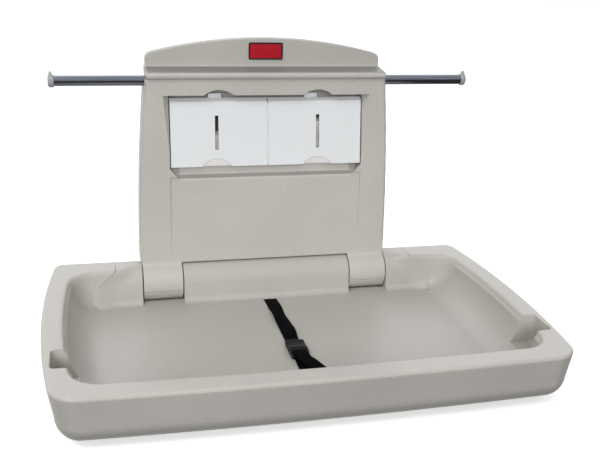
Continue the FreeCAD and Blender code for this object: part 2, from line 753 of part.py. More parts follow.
def cover_screw_places():
    """Screws round the underside cover, on the middle of its ledge."""
    inset = value("cover_inset") + value("cover_ledge") / 2
    half_rear = value("tray_width") / 2 - inset - 40
    rear = value("rear_y") - inset
    front = value("front_y") + inset + 1
    middle = value("rear_y") - value("bulge_back")
    side = value("tray_width") / 2 - inset
    return [(-half_rear, rear), (0, rear), (half_rear, rear), (-side, middle), (side, middle),
            (-half_rear * 0.9, front), (0, front), (half_rear * 0.9, front)]


feature("tray_shell", tray_shell())


def tray_underside():
    """The flat cover that closes the tray, with two pressed ribs and its screw holes."""
    inset = value("cover_inset") + value("cover_gap")
    corner = value("least_corner") + 8 - value("cover_gap")
    under_z, radius = value("under_z"), value("cover_screw_radius")
    gap, head = value("head_gap"), value("head_height")
    outline = tray_outline(under_z, inset, inset, inset, corner, corner)
    cover = rise(outline, value("cover_wall"))
    for x, y in cover_screw_places():
        spot = Vector(x, y, under_z)
        cover = cover.cut(Part.makeCylinder(radius + gap, value("cover_wall"), spot, Z))
        cover = cover.cut(Part.makeCylinder(2 * radius + gap, head + gap, spot, Z))
    rib = value("rail_width") / 2
    near = value("rear_y") - value("cover_inset") - 60
    far = value("front_y") + value("cover_inset") + 60
    for x in (-value("tray_width") / 5, value("tray_width") / 5):
        groove = slab((x - rib, x + rib), (far, near), (under_z - 1, under_z + value("rail_rise")))
        groove = round_edges(groove, rib - 1, lambda edge: along(edge, Z))
        cover = cover.cut(groove)
    return cover


feature("tray_underside", tray_underside())

# Screws of the underside cover, all alike
cover_screws = []
for x, y in cover_screw_places():
    spot = Vector(x, y, value("under_z") + value("head_gap"))
    shank = Part.makeCylinder(value("cover_screw_radius"), 2 * value("cover_wall"), spot, Z)
    head = Part.makeCylinder(2 * value("cover_screw_radius"), value("head_height"), spot, Z)
    cover_screws.append(shank.fuse(head).removeSplitter())
feature("cover_screws", Part.makeCompound(cover_screws))


# Steel hinge brackets of the tray: two lugs on a plate under the floor
def tray_bracket(side):
    axis_y, axis_z = value("axis_y"), value("axis_z")
    top, wall = value("arm_top_z"), value("arm_wall")
    eye = value("lug_radius")
    front = axis_y - value("arm_reach")
    heel = axis_y - value("roll_radius") - 12
    leg = [(axis_y + eye, axis_z), (axis_y + eye, axis_z - eye), (axis_y, top - wall),
           (heel - 20, top - wall), (heel - 20, top), (heel + 26, top), (axis_y - eye, top + 12),
           (axis_y - eye, axis_z)]
    lugs = []
    for low in (value("tray_lug_inner"), value("tray_lug_outer")):
        high = low + value("lug_wall")
        start, end = (low, high) if side > 0 else (-high, -low)
        lug = prism_x(leg, start, end)
        lugs.append(lug.fuse(Part.makeCylinder(eye, end - start, Vector(start, axis_y, axis_z), X)))
    low, high = value("tray_lug_inner"), value("tray_lug_outer") + value("lug_wall")
    x = (low, high) if side > 0 else (-high, -low)
    plate = slab(x, (front, heel), (top - wall, top))
    plate = round_edges(plate, 10, lambda edge: along(edge, Z) and edge.CenterOfMass.y < front + 1)
    bracket = plate.multiFuse(lugs).removeSplitter()
    bore = value("pin_radius") + value("pin_run") + value("bush_wall")
    bracket = bracket.cut(hinge_line(bore, axis_y, axis_z))
    for x, y in arm_bolt_places():
        if x * side > 0:
            hole = value("bolt_radius") + value("head_gap")
            bracket = bracket.cut(Part.makeCylinder(hole, wall, Vector(x, y, top - wall), Z))
    return bracket


for name, side in SIDES:
    feature(f"tray_bracket_{name}", tray_bracket(side))

arm_bolts = []
for x, y in arm_bolt_places():
    low = value("arm_top_z") - value("arm_wall")
    shank = Part.makeCylinder(value("bolt_radius"), value("arm_wall") + 3, Vector(x, y, low), Z)
    head = Part.makeCylinder(2 * value("bolt_radius"), 3, Vector(x, y, low - 3), Z)
    arm_bolts.append(shank.fuse(head).removeSplitter())
feature("bracket_bolts", Part.makeCompound(arm_bolts))

# Nylon bushes in the tray's lugs
bushes = []
for name, side in SIDES:
    for lug in ("tray_lug_inner", "tray_lug_outer"):
        x = span(side, lug, f"{lug} + lug_wall")
        body = rod(f"bush_{name}_{lug}", "x", "pin_radius + pin_run + bush_wall",
                   (x[0], "axis_y", "axis_z"), "lug_wall")
        bore = rod(f"bush_bore_{name}_{lug}", "x", "pin_radius + pin_run",
                   (f"{x[0]} - 1", "axis_y", "axis_z"), "lug_wall + 2")
        bushes.append(cut(f"bush_cut_{name}_{lug}", body, [bore]))
keep("hinge_bushes", group("hinge_bushes", bushes))

# Hinge pins, with a groove and a clip at each end
clips = []
for name, side in SIDES:
    x = span(side, "pin_low", "pin_high")
    body = rod(f"pin_body_{name}", "x", "pin_radius", (x[0], "axis_y", "axis_z"), "pin_high - pin_low")
    grooves = []
    for end, at in (("a", f"{x[0]} + 2"), ("b", f"{x[1]} - 3.5")):
        ring = rod(f"groove_{name}_{end}", "x", "pin_radius + 1", (at, "axis_y", "axis_z"), "1.5")
        core = rod(f"groove_core_{name}_{end}", "x", "pin_radius - 1",
                   (f"{at} - 1", "axis_y", "axis_z"), "4")
        grooves.append(cut(f"groove_cut_{name}_{end}", ring, [core]))
        rim = rod(f"clip_rim_{name}_{end}", "x", "pin_radius + 3", (at, "axis_y", "axis_z"), "1.5")
        eye = rod(f"clip_eye_{name}_{end}", "x", "pin_radius - 1",
                  (f"{at} - 1", "axis_y", "axis_z"), "4")
        mouth = block(f"clip_mouth_{name}_{end}", (f"{at} - 1", f"{at} + 3"),
                      ("axis_y - 2.5", "axis_y + 2.5"), ("axis_z - pin_radius - 5", "axis_z"))
        clips.append(cut(f"clip_{name}_{end}", rim, [eye, mouth]))
    keep(f"hinge_pin_{name}", cut(f"hinge_pin_{name}", body, grooves))
keep("pin_clips", group("pin_clips", clips))


# Steel brackets on the wall: a flange with two lugs round the hinge pin
def wall_bracket(side):
    axis_y, axis_z = value("axis_y"), value("axis_z")
    back = -value("plate_wall")
    front = back - value("bracket_wall")
    low, high = value("wall_lug_inner"), value("wall_lug_outer") + value("lug_wall")
    top = value("rim_z") + value("bracket_top_above")
    foot = value("bracket_foot_z")
    x = (low, high) if side > 0 else (-high, -low)
    flange = slab(x, (front, back), (foot, top))
    screw_x, screw_z = side * value("screw_span_x") / 2, -value("screw_span_z") / 2
    flange = flange.cut(Part.makeCylinder(value("wall_hole_radius"), value("bracket_wall"),
                                          Vector(screw_x, front, screw_z), Y))
    eye = value("lug_radius")
    leg = [(back, foot), (back, axis_z + 40), (front - 6, axis_z + 40), (axis_y, axis_z + eye),
           (axis_y, axis_z - eye), (front - 6, foot)]
    lugs = []
    for near in (value("wall_lug_inner"), value("wall_lug_outer")):
        far = near + value("lug_wall")
        start, end = (near, far) if side > 0 else (-far, -near)
        lug = prism_x(leg, start, end)
        lugs.append(lug.fuse(Part.makeCylinder(eye, end - start, Vector(start, axis_y, axis_z), X)))
    shelf = slab(x, (axis_y + 8, back), (foot, foot + value("bracket_wall")))
    bracket = flange.multiFuse(lugs + [shelf]).removeSplitter()
    middle = side * (value("knuckle_inner") + value("knuckle_width") / 2)
    bracket = bracket.cut(Part.makeCylinder(value("cap_screw_radius"), value("bracket_wall"),
                                            Vector(middle, cap_screw_y(), foot), Z))
    bracket = bracket.cut(hinge_line(value("pin_radius"), axis_y, axis_z))
    for x, z in bracket_rivet_places(side):
        bracket = bracket.cut(Part.makeCylinder(value("rivet_radius"), value("bracket_wall"),
                                                Vector(x, front, z), Y))
    return bracket


def cap_screw_y():
    """A knuckle cap's screw stands half way between the hinge axis and the wall."""
    return value("axis_y") / 2


def bracket_rivet_places(side):
    """Rivets that hold a wall bracket to the back plate."""
    outer = side * (value("knuckle_inner") + value("knuckle_width") / 2)
    inner = outer - side * value("rivet_pitch")
    low = value("rim_z") + value("plate_foot_above") + value("rivet_over")
    high = value("rim_z") + value("bracket_top_above") - value("rivet_under")
    return [(x, z) for x in (inner, outer) for z in (low, high)]


for name, side in SIDES:
    feature(f"wall_bracket_{name}", wall_bracket(side))

rivets = []
for name, side in SIDES:
    for x, z in bracket_rivet_places(side):
        grip = value("plate_wall") + value("bracket_wall")
        shank = Part.makeCylinder(value("rivet_radius"), grip, Vector(x, -grip, z), Y)
        crown = -grip - value("rivet_head")
        head = Part.makeCylinder(2 * value("rivet_radius"), value("rivet_head"), Vector(x, crown, z), Y)
        head = round_edges(head, value("rivet_head") / 2,
                           lambda edge: abs(edge.CenterOfMass.y - crown) < 1e-6)
        rivets.append(shank.fuse(head).removeSplitter())
feature("bracket_rivets", Part.makeCompound(rivets))


def panel_screw_places():
    """Screws that hold the panel's bosses to the back plate, from behind."""
    rim_z = value("rim_z")
    high = rim_z + value("ledge_front_above") + value("upper_boss_over")
    low = rim_z + value("plate_foot_above") + value("lower_boss_over")
    upper, lower = value("upper_boss_at"), value("lower_boss_at")
    return [(-upper, high), (upper, high), (-lower, low), (lower, low)]


def saddle_screw_places():
    return [(side * value("saddle_at"), value("bar_z")) for name, side in SIDES]


# The steel back plate, with four wall screw holes
plate = doc.addObject("PartDesign::Body", "back_plate")
plate_z = ("rim_z + plate_foot_above", "rim_z + plate_top_above")
pad(plate, sketch(plate, "XZ_Plane", rectangle(("-plate_half", "plate_half"), plate_z)), "plate_wall")
for step_x in (-1, 1):
    for step_z in (-1, 1):
        circle(plate, "XZ_Plane", f"{step_x} * screw_span_x / 2", f"{step_z} * screw_span_z / 2",
               "wall_hole_radius", "0")
        pocket(plate, plate.Group[-1], "plate_wall + 1", True)
for name, side in SIDES:
    for x, z in bracket_rivet_places(side):
        circle(plate, "XZ_Plane", f"{x}", f"{z}", "rivet_radius", "0")
        pocket(plate, plate.Group[-1], "plate_wall + 1", True)
sunk_heads = (("panel_screw_radius", panel_screw_places()), ("saddle_screw_radius", saddle_screw_places()))
for radius, spots in sunk_heads:
    for x, z in spots:
        circle(plate, "XZ_Plane", f"{x}", f"{z}", radius, "0")
        pocket(plate, plate.Group[-1], "plate_wall + 1", True)
        circle(plate, "XZ_Plane", f"{x}", f"{z}", f"2 * {radius} + head_gap", "0")
        pocket(plate, plate.Group[-1], "head_height + head_gap", True)
keep("back_plate", plate)


# The moulded panel: arched header, ledge and brow, frame with well, trough and pad, knuckles
def panel_sides(inset, low, high):
    """Outline of the panel between two heights, with its bowed, tapering sides."""
    def half(z):
        top, foot = value("rim_z") + value("brow_low_above"), value("panel_foot_z")
        share = (z - foot) / (top - foot)
        wide, narrow = value("panel_half_foot"), value("panel_half_top")
        bow = 4 * value("panel_bow") * share * (1 - share)
        return wide + (narrow - wide) * share + bow - inset
    middle = (low + high) / 2
    return [(-half(low), low), (half(low), low), ((half(middle), middle), (half(high), high)),
            (-half(high), high), ((-half(middle), middle), (-half(low), low))]


def header_outline(inset, low):
    rim_z = value("rim_z")
    half = value("header_half") - inset
    top = rim_z + value("header_top_above") - inset
    corner = top - value("arch_rise")
    return [(-half, low), (half, low), (half, corner), ((0, top), (-half, corner))]


def knuckle_section(inset):
    """Section of a knuckle: the stile's face runs into the barrel, down to the cap's seam."""
    axis_y, axis_z = value("axis_y"), value("axis_z")
    radius = value("roll_radius") - inset
    face = -value("panel_out") + inset
    blend = 12 + inset
    rise = math.sqrt((radius + blend) ** 2 - (axis_y - face + blend) ** 2)
    centre = (face - blend, axis_z + rise)
    share = radius / (radius + blend)
    touch = (axis_y + (centre[0] - axis_y) * share, axis_z + rise * share)
    angle = math.atan2(touch[1] - centre[1], touch[0] - centre[0])
    bend = (centre[0] + blend * math.cos(angle / 2), centre[1] + blend * math.sin(angle / 2))
    crease = math.radians(value("crease_deg"))
    seam = (axis_y - radius * math.cos(crease), axis_z - radius * math.sin(crease))
    start = math.atan2(touch[1] - axis_z, touch[0] - axis_y)
    half_way = (start + math.pi + crease) / 2
    front = (axis_y + radius * math.cos(half_way), axis_z + radius * math.sin(half_way))
    top = value("panel_foot_z") + 30
    seam_z = axis_z - value("roll_radius") * math.sin(crease)
    low = seam if inset == 0 else (axis_y - math.sqrt(radius ** 2 - (seam_z - axis_z) ** 2), seam_z)
    return [(0, top), (face, top), (face, centre[1]), (bend, touch), (front, low), (0, low[1])]


def well_space(wall):
    """The open space of the liner well and its trough, made larger by a wall."""
    rim_z, out = value("rim_z"), value("panel_out")
    top, ledge = rim_z + value("well_top_above"), rim_z + value("trough_top_above")
    half = value("well_half") + wall
    back = -value("well_back") + wall
    well = slab((-half, half), (-out - 2, back), (ledge - wall, top + wall))

    lip, low = rim_z + value("lip_above"), rim_z + value("trough_low_above") - wall
    radius = value("lip_round")
    pad_y = -out + value("pad_set_back")
    gutter = pad_y + 2 * radius + wall
    slope_y = gutter + 3 + wall
    section = [(-out - 2, ledge + 4), (slope_y + 12, ledge + 4), (slope_y + 12, ledge - wall),
               (gutter, lip + 6 - wall), (gutter, low), (pad_y + radius + 2 - wall, low),
               (pad_y + radius + 2 - wall, lip - radius), (pad_y + radius, lip - radius)]
    if wall == 0:
        turn = math.radians(45)
        section += [((pad_y + radius - radius * math.sin(turn), lip - radius + radius * math.cos(turn)),
                     (pad_y, lip - radius))]
        section[-2:-1] = [(pad_y + radius + 2, lip - 1), (pad_y + radius, lip)]
    section += [(-out - 2, lip - radius)]
    trough = prism_x(section, -half, half)
    taper = value("trough_taper")
    ends = [(-half, ledge + 10), (half, ledge + 10), (half, ledge), (half - taper, low - 1),
            (-half + taper, low - 1), (-half, ledge)]
    space = well.fuse(trough.common(prism_y(ends, -out - 5, 0)))

    flare, deep = value("well_flare"), value("well_flare_deep")
    foot = rim_z + value("door_foot_above")
    for name, side in SIDES:
        inner, outer = side * (half - wall - 1), side * (half + flare)
        corner = Vector(inner, -out - 2, foot - 3 * wall)
        rim = [Vector(inner, -out - 2, top + wall), Vector(outer, -out - 2, top + wall)]
        rear = Vector(inner, -out + deep + 2 * wall, top + wall)
        points = [corner] + rim + [rear]
        faces = [Part.Face(Part.makePolygon([points[i] for i in order] + [points[order[0]]]))
                 for order in ((0, 1, 2), (0, 2, 3), (0, 3, 1), (1, 3, 2))]
        wedge = Part.Solid(Part.Shell(faces))
        if wedge.Volume < 0:
            wedge.reverse()
        space = space.fuse(wedge)
    rise_z = value("scallop_rise")
    radius = ((value("scallop_width") / 2) ** 2 + rise_z ** 2) / (2 * rise_z)
    for name, side in SIDES:
        centre = Vector(side * value("door_middle"), -out - 2, top + rise_z - radius)
        scallop = Part.makeCylinder(radius + wall, value("scallop_deep") + 2 + wall, centre, Y)
        space = space.fuse(scallop.common(level(top - wall - 1, top + 2 * radius)))
    return space


def back_panel():
    rim_z, out, wall = value("rim_z"), value("panel_out"), value("panel_wall")
    foot_z = value("panel_foot_z")
    brow_low = rim_z + value("brow_low_above")
    ledge_back, ledge_front = rim_z + value("ledge_back_above"), rim_z + value("ledge_front_above")

    frame = prism_y(panel_sides(0, foot_z, brow_low), -out, 0)
    frame = round_edges(frame, value("panel_round"), lambda edge: (
        abs(edge.CenterOfMass.y + out) < 1e-6 and abs(edge.CenterOfMass.x) > 100))
    header = prism_y(header_outline(0, brow_low), -value("header_out"), 0)
    header = round_edges(header, value("header_corner"), lambda edge: (
        along(edge, Y) and edge.CenterOfMass.z > brow_low + 1))
    header = round_edges(header, 3, lambda edge: (
        abs(edge.CenterOfMass.y + value("header_out")) < 1e-6 and edge.BoundBox.ZMax > brow_low + 1))
    nose = -value("brow_out")
    brow_radius = (ledge_front - brow_low) / 2
    turn_y = nose + brow_radius
    brow = prism_x([(0, ledge_back), (-value("header_out"), ledge_back), (turn_y, ledge_front),
                    ((nose, (ledge_front + brow_low) / 2), (turn_y, brow_low)), (0, brow_low)],
                   -value("brow_half"), value("brow_half"))
    brow = round_edges(brow, 4, lambda edge: (
        abs(abs(edge.CenterOfMass.x) - value("brow_half")) < 1e-6 and edge.CenterOfMass.y < -25
        and edge.CenterOfMass.z > brow_low + 1e-6))
    knuckles = [knuckle_solid(side, 0) for name, side in SIDES]
    outside = frame.multiFuse([header, brow] + knuckles)

    hollow = prism_y(panel_sides(wall, foot_z + wall, brow_low), -out + wall, 1)
    brow_hollow = prism_x([(1, ledge_front - wall - 1), (-out + wall, ledge_front - wall - 1),
                           (-out + wall, brow_low - 1), (1, brow_low - 1)],
                          -value("brow_half") + wall + 1.5, value("brow_half") - wall - 1.5)
    top_hollow = prism_y(header_outline(wall, ledge_front - wall - 2), -value("header_out") + wall, 1)
    top_hollow = round_edges(top_hollow, value("header_corner") - wall, lambda edge: (
        along(edge, Y) and edge.CenterOfMass.z > ledge_front))
    hollows = [brow_hollow, top_hollow] + [knuckle_solid(side, wall) for name, side in SIDES]
    hollow = hollow.multiFuse(hollows)
    hollow = hollow.cut(well_space(wall))
    panel = outside.cut(hollow).cut(well_space(0))

    pad_foot = foot_z + 6
    lip = rim_z + value("lip_above")
    set_back = prism_x([(-out - 1, pad_foot), (-out, pad_foot), (-out + value("pad_set_back"), lip - 1),
                        (-out + value("pad_set_back"), lip + 3), (-out - 1, lip + 3)],
                       -value("well_half"), value("well_half"))
    panel = panel.cut(set_back)

    bar_hole = value("bar_radius") + value("bar_clear")
    panel = panel.cut(hinge_line(bar_hole, -value("bar_out"), value("bar_z")))
    pin_hole = value("pin_radius") + 0.5
    for name, side in SIDES:
        low = value("knuckle_inner") - 1 if side > 0 else -value("knuckle_outer") - 1
        panel = panel.cut(Part.makeCylinder(pin_hole, value("knuckle_width") + 2,
                                            Vector(low, value("axis_y"), value("axis_z")), X))
    for x, length in door_pin_places():
        if abs(x + length / 2) > 50:
            start = Vector(x, value("door_pivot_y"), value("door_pivot_z"))
            panel = panel.cut(Part.makeCylinder(value("door_pin_radius"), length, start, X))
    panel = panel.multiFuse([door_lug()])
    for x, z in panel_screw_places():
        panel = panel.multiFuse([panel_boss(x, z)])
    return panel.removeSplitter()


def knuckle_solid(side, inset):
    low, high = value("knuckle_inner") + inset, value("knuckle_outer") - inset
    start, end = (low, high) if side > 0 else (-high, -low)
    section = knuckle_section(inset)
    if inset:
        behind, drop = 1, section[-1][1] - 1
        section = [(behind, section[0][1])] + section[1:-1] + [(section[-2][1][0], drop), (behind, drop)]
    return prism_x(section, start, end)


def door_lug():
    """A small post between the doors that holds their shared inner pin."""
    y, z = value("door_pivot_y"), value("door_pivot_z")
    half = value("door_rim_inset") - 1.5
    radius = value("door_pin_radius")
    foot = value("rim_z") + value("trough_top_above")
    back = -value("well_back") - 2
    post = prism_x([(y - radius - 2, z + radius + 2), (y - radius - 2, z - radius - 2),
                    (y + 12, foot - 1), (back, foot - 1), (back, foot + 26), (y + 12, z + radius + 2)],
                   -half, half)
    return post.cut(Part.makeCylinder(radius, 4 * half, Vector(-2 * half, y, z), X))


def door_pin_places():
    """Start and length along X of the three pivot pins of the liner doors."""
    outer = value("well_half") + value("panel_wall")
    reach = value("well_half") - value("door_width") - value("door_seam") / 2
    length = value("panel_wall") + reach + value("door_rim_inset") + value("door_wall") + 2
    centre = value("door_seam") / 2 + value("door_rim_inset") + value("door_wall") + 2
    return [(-outer, length), (-centre, 2 * centre), (outer - length, length)]


def panel_boss(x, z):
    """A hollow post behind the panel's face, down to the back plate."""
    front = -value("header_out") + 1
    if z < value("rim_z") + value("lip_above"):
        front = -value("panel_out") + value("panel_wall") - 0.5
    back = -value("plate_wall")
    post = Part.makeCylinder(value("boss_radius"), back - front, Vector(x, front, z), Y)
    bore = value("boss_bore")
    return post.cut(Part.makeCylinder(value("panel_screw_radius"), bore, Vector(x, back - bore, z), Y))


feature("back_panel", back_panel())


def sunk_screw(x, z, radius, reach):
    """A screw from behind the back plate, its head sunk in the plate."""
    gap, head = value("head_gap"), value("head_height")
    shank = Part.makeCylinder(radius, reach, Vector(x, -gap - reach, z), Y)
    return shank.fuse(Part.makeCylinder(2 * radius, head, Vector(x, -gap - head, z), Y)).removeSplitter()


feature("panel_screws", Part.makeCompound([
    sunk_screw(x, z, value("panel_screw_radius"), value("panel_screw_reach"))
    for x, z in panel_screw_places()]))


# Caps that close the knuckles from below, each with one screw into the wall bracket's foot
def knuckle_cap(side):
    axis_y, axis_z = value("axis_y"), value("axis_z")
    wall = value("panel_wall")
    crease = math.radians(value("crease_deg"))
    back = -value("plate_wall") - value("bracket_wall")

    def section(inset):
        radius = value("roll_radius") - inset
        seam_z = axis_z - value("roll_radius") * math.sin(crease) - (0 if inset else value("seat_gap"))
        seam_y = axis_y - math.sqrt(radius ** 2 - (seam_z - axis_z) ** 2)
        top = seam_z if inset == 0 else seam_z + 1
        half_way = (math.pi + math.atan2(axis_z - seam_z, axis_y - seam_y) + 1.5 * math.pi) / 2
        bend = (axis_y + radius * math.cos(half_way), axis_z + radius * math.sin(half_way))
        start = (seam_y, seam_z)
        low = (axis_y, axis_z - radius)
        rear = back if inset == 0 else back + 1
        path = [start, (bend, low), (rear, axis_z - radius), (rear, top)]
        if inset:
            path += [(seam_y, top)]
        return path

    low, high = value("knuckle_inner"), value("knuckle_outer")
    x = (low, high) if side > 0 else (-high, -low)
    cap = prism_x(section(0), x[0], x[1])
    cap = cap.cut(prism_x(section(wall), x[0] + wall, x[1] - wall))
    middle = (x[0] + x[1]) / 2
    floor = axis_z - value("roll_radius")
    height = value("bracket_foot_z") - value("seat_gap") - floor
    spot = Vector(middle, cap_screw_y(), floor)
    screw, gap = value("cap_screw_radius"), value("head_gap")
    cap = cap.fuse(Part.makeCylinder(2 * screw + 1, height, spot, Z))
    cap = cap.cut(Part.makeCylinder(screw + gap, height, spot, Z))
    cap = cap.cut(Part.makeCylinder(2 * screw + gap, value("head_height") + 2 * gap, spot, Z))
    return cap.removeSplitter()


cap_screws = []
for name, side in SIDES:
    feature(f"knuckle_cap_{name}", knuckle_cap(side))
    middle = side * (value("knuckle_inner") + value("knuckle_width") / 2)
    low = value("axis_z") - value("roll_radius") + value("head_gap")
    top = value("bracket_foot_z") + value("bracket_wall")
    radius = value("cap_screw_radius")
    spot = Vector(middle, cap_screw_y(), low)
    shank = Part.makeCylinder(radius, top - low, spot, Z)
    head = Part.makeCylinder(2 * radius, value("head_height"), spot, Z)
    cap_screws.append(shank.fuse(head).removeSplitter())
feature("cap_screws", Part.makeCompound(cap_screws))

# The bag bar: a tube that runs through the panel's sides, with a hook on each end
END_WALL = "1.5"
tube = rod("bar_tube", "x", "bar_radius", (f"-bar_half + {END_WALL}", "-bar_out", "bar_z"),
           f"bar_length - 2 * {END_WALL}")
tube_bore = rod("bar_bore", "x", "bar_radius - bar_wall", ("-bar_half", "-bar_out", "bar_z"), "bar_length")
keep("hook_bar", cut("hook_bar", tube, [tube_bore]))
for name, side in SIDES:
    x = span(side, "bar_half - hook_width", "bar_half")
    ear = block(f"hook_block_{name}", x, ("-bar_out - hook_depth / 2", "-bar_out + hook_depth / 2"),
                ("bar_z - hook_down", "bar_z + hook_up"))
    eased = doc.addObject("Part::Fillet", f"hook_eased_{name}")
    doc.recompute()
    eased.Base = ear
    eased.Edges = [(number, 5.0, 5.0) for number, edge in enumerate(ear.Shape.Edges, 1) if along(edge, X)]
    saddle = rod(f"hook_saddle_{name}", "x", "bar_radius - 1",
                 (span(side, "bar_half - hook_width - 1", "bar_half - 4")[0], "-bar_out",
                  "bar_z + hook_up + 2"),
                 "hook_width - 3")
    seat = rod(f"hook_bore_{name}", "x", "bar_radius",
               (span(side, "bar_half - hook_width - 1", f"bar_half - {END_WALL}")[0], "-bar_out", "bar_z"),
               f"hook_width + 1 - {END_WALL}")
    keep(f"bar_end_{name}", cut(f"bar_end_{name}", eased, [saddle, seat]))

# Saddles that carry the bar on the back plate, inside the panel
saddle_screws = []
for name, side in SIDES:
    x = span(side, "saddle_at - saddle_width / 2", "saddle_at + saddle_width / 2")
    body = block(f"saddle_body_{name}", x, ("-bar_out - bar_radius - saddle_wall", "-plate_wall"),
                 ("bar_z - bar_radius - saddle_wall", "bar_z + bar_radius + saddle_wall"))
    bore = rod(f"saddle_bore_{name}", "x", "bar_radius", (f"{x[0]} - 1", "-bar_out", "bar_z"),
               "saddle_width + 2")
    middle = span(side, "saddle_at", "saddle_at")[0]
    hole = rod(f"saddle_hole_{name}", "y", "saddle_screw_radius",
               (middle, "-plate_wall - saddle_screw_reach", "bar_z"), "plate_wall + saddle_screw_reach")
    keep(f"bar_saddle_{name}", cut(f"bar_saddle_{name}", body, [bore, hole]))
    saddle_screws += [sunk_screw(spot, z, value("saddle_screw_radius"), value("saddle_screw_reach"))
                      for spot, z in saddle_screw_places() if spot * side > 0]
feature("saddle_screws", Part.makeCompound(saddle_screws))

# Pivot pins of the liner doors
pins = []
for x, length in door_pin_places():
    start = Vector(x, value("door_pivot_y"), value("door_pivot_z"))
    pins.append(Part.makeCylinder(value("door_pin_radius"), length, start, X))
feature("door_pins", Part.makeCompound(pins))


# The two liner doors: a plate with a bevelled top, side rims, a tab, a slot and a half-moon
def liner_door(label, low_x, outward):
    door = doc.addObject("PartDesign::Body", label)
    crown = "door_height + door_bevel_up"
    plate = [("0", "0"), ("0", "door_height"), ("door_bevel_back", crown), ("door_deep", crown),
             ("door_deep", f"{crown} - door_wall"),
             ("door_bevel_back + 0.3 * door_wall", f"{crown} - door_wall"),
             ("door_wall", "door_height - 0.5 * door_wall"), ("door_wall", "0")]
    pad(door, sketch(door, "YZ_Plane", plate), "door_width")
    rim = [("door_wall / 2", "0"), ("door_wall / 2", "door_height - door_wall / 2"),
           ("door_bevel_back + door_wall / 2", f"{crown} - door_wall / 2"),
           ("door_deep", f"{crown} - door_wall / 2"), ("door_deep", "0")]
    pad(door, sketch(door, "YZ_Plane", rim, "door_rim_inset"), "door_wall")
    pad(door, sketch(door, "YZ_Plane", rim, "door_width - door_rim_inset - door_wall"), "door_wall")
    middle = "door_width / 2"
    tab = rectangle((f"{middle} - tab_shift - tab_width / 2", f"{middle} - tab_shift + tab_width / 2"),
                    (f"{crown} - door_wall", f"{crown} + tab_height"))
    pad(door, sketch(door, "XZ_Plane", tab, "-door_bevel_back"), "tab_wall", True)
    sight = f"{middle} + {outward} * sight_shift"
    slot = rectangle((f"{sight} - slot_width / 2", f"{sight} + slot_width / 2"),
                     ("slot_foot", "slot_foot + slot_length"))
    pocket(door, sketch(door, "XZ_Plane", slot, "1"), "door_wall + 2")
    circle(door, "XZ_Plane", sight, "moon_rise - moon_radius", "moon_radius", "1")
    pocket(door, door.Group[-1], "door_wall + 2")
    circle(door, "YZ_Plane", "door_pin_back", "door_pin_up", "door_pin_radius + pin_run", "-1")
    pocket(door, door.Group[-1], "door_width + 2", True)
    corners = []
    for number, edge in enumerate(door.Shape.Edges, 1):
        spot = edge.CenterOfMass
        at_side = min(abs(spot.x), abs(spot.x - value("door_width"))) < 1e-6
        if along(edge, Z) and at_side and abs(spot.y) < 1e-6:
            corners.append(f"Edge{number}")
    before = door.Tip
    eased = door.newObject("PartDesign::Fillet", f"{label}_eased")
    eased.Base = (before, corners)
    bind(eased, "Radius", "door_round")
    doc.recompute()
    door.Placement = Placement(Vector(), Rotation(Vector(1, 0, 0), -value("door_lean_deg")))
    bind(door, "Placement.Base.x", low_x)
    bind(door, "Placement.Base.y", "door_face_y")
    bind(door, "Placement.Base.z", "door_foot_z")
    return keep(label, door)


place("moon_radius", "((moon_width / 2) ^ 2 + moon_rise ^ 2) / (2 * moon_rise)")
doc.recompute()
liner_door("door_left", "-door_seam / 2 - door_width", -1)
liner_door("door_right", "door_seam / 2", 1)

# Stacks of paper liners behind the doors, one sheet drawn forward
for name, side in SIDES:
    ledge = "rim_z + trough_top_above + seat_gap"
    middle = "sight_middle" if side > 0 else "-sight_middle"
    stack = block(f"stack_{name}", (f"{middle} - liner_width / 2", f"{middle} + liner_width / 2"),
                  ("-well_back - seat_gap - liner_thick", "-well_back - seat_gap"),
                  (ledge, f"{ledge} + liner_{name}_height"))
    toe = block(f"toe_{name}", (f"{middle} - moon_width / 2 + 2", f"{middle} + moon_width / 2 - 2"),
                ("door_face_y + door_wall + 5", "-well_back - liner_thick"), (ledge, f"{ledge} + liner_toe"))
    keep(f"liner_stack_{name}", fuse(f"liner_stack_{name}", [stack, toe]))

# The blank plate on the header
sign = doc.addObject("PartDesign::Body", "name_plate")
face = rectangle(("-plate_length / 2", "plate_length / 2"),
                 ("rim_z + sign_above - plate_height / 2", "rim_z + sign_above + plate_height / 2"))
pad(sign, sketch(sign, "XZ_Plane", face, "header_out"), "plate_thick")
corners = [f"Edge{number}" for number, edge in enumerate(sign.Shape.Edges, 1) if along(edge, Y)]
before = sign.Tip
eased = sign.newObject("PartDesign::Fillet", "sign_eased")
eased.Base = (before, corners)
bind(eased, "Radius", "sign_corner")
keep("name_plate", sign)


# The strap: webbing from a slot behind to a buckle in the middle and on to a slot in front
def ribbon(path, half):
    """Webbing along a path in Y and Z that gives the middle of its thickness."""
    thick = value("strap_thick") / 2
    above, below = [], []
    for index, (y, z) in enumerate(path):
        before = path[max(index - 1, 0)]
        after = path[min(index + 1, len(path) - 1)]
        first = Vector(y - before[0], z - before[1], 0)
        second = Vector(after[0] - y, after[1] - z, 0)
        first = first.normalize() if first.Length > 0 else second.normalize()
        second = second.normalize() if second.Length > 0 else first
        across = Vector(-first.y - second.y, first.x + second.x, 0).normalize()
        reach = thick / across.dot(Vector(-first.y, first.x, 0))
        above.append((y + across.x * reach, z + across.y * reach))
        below.append((y - across.x * reach, z - across.y * reach))
    return prism_x(above + below[::-1], -half, half)


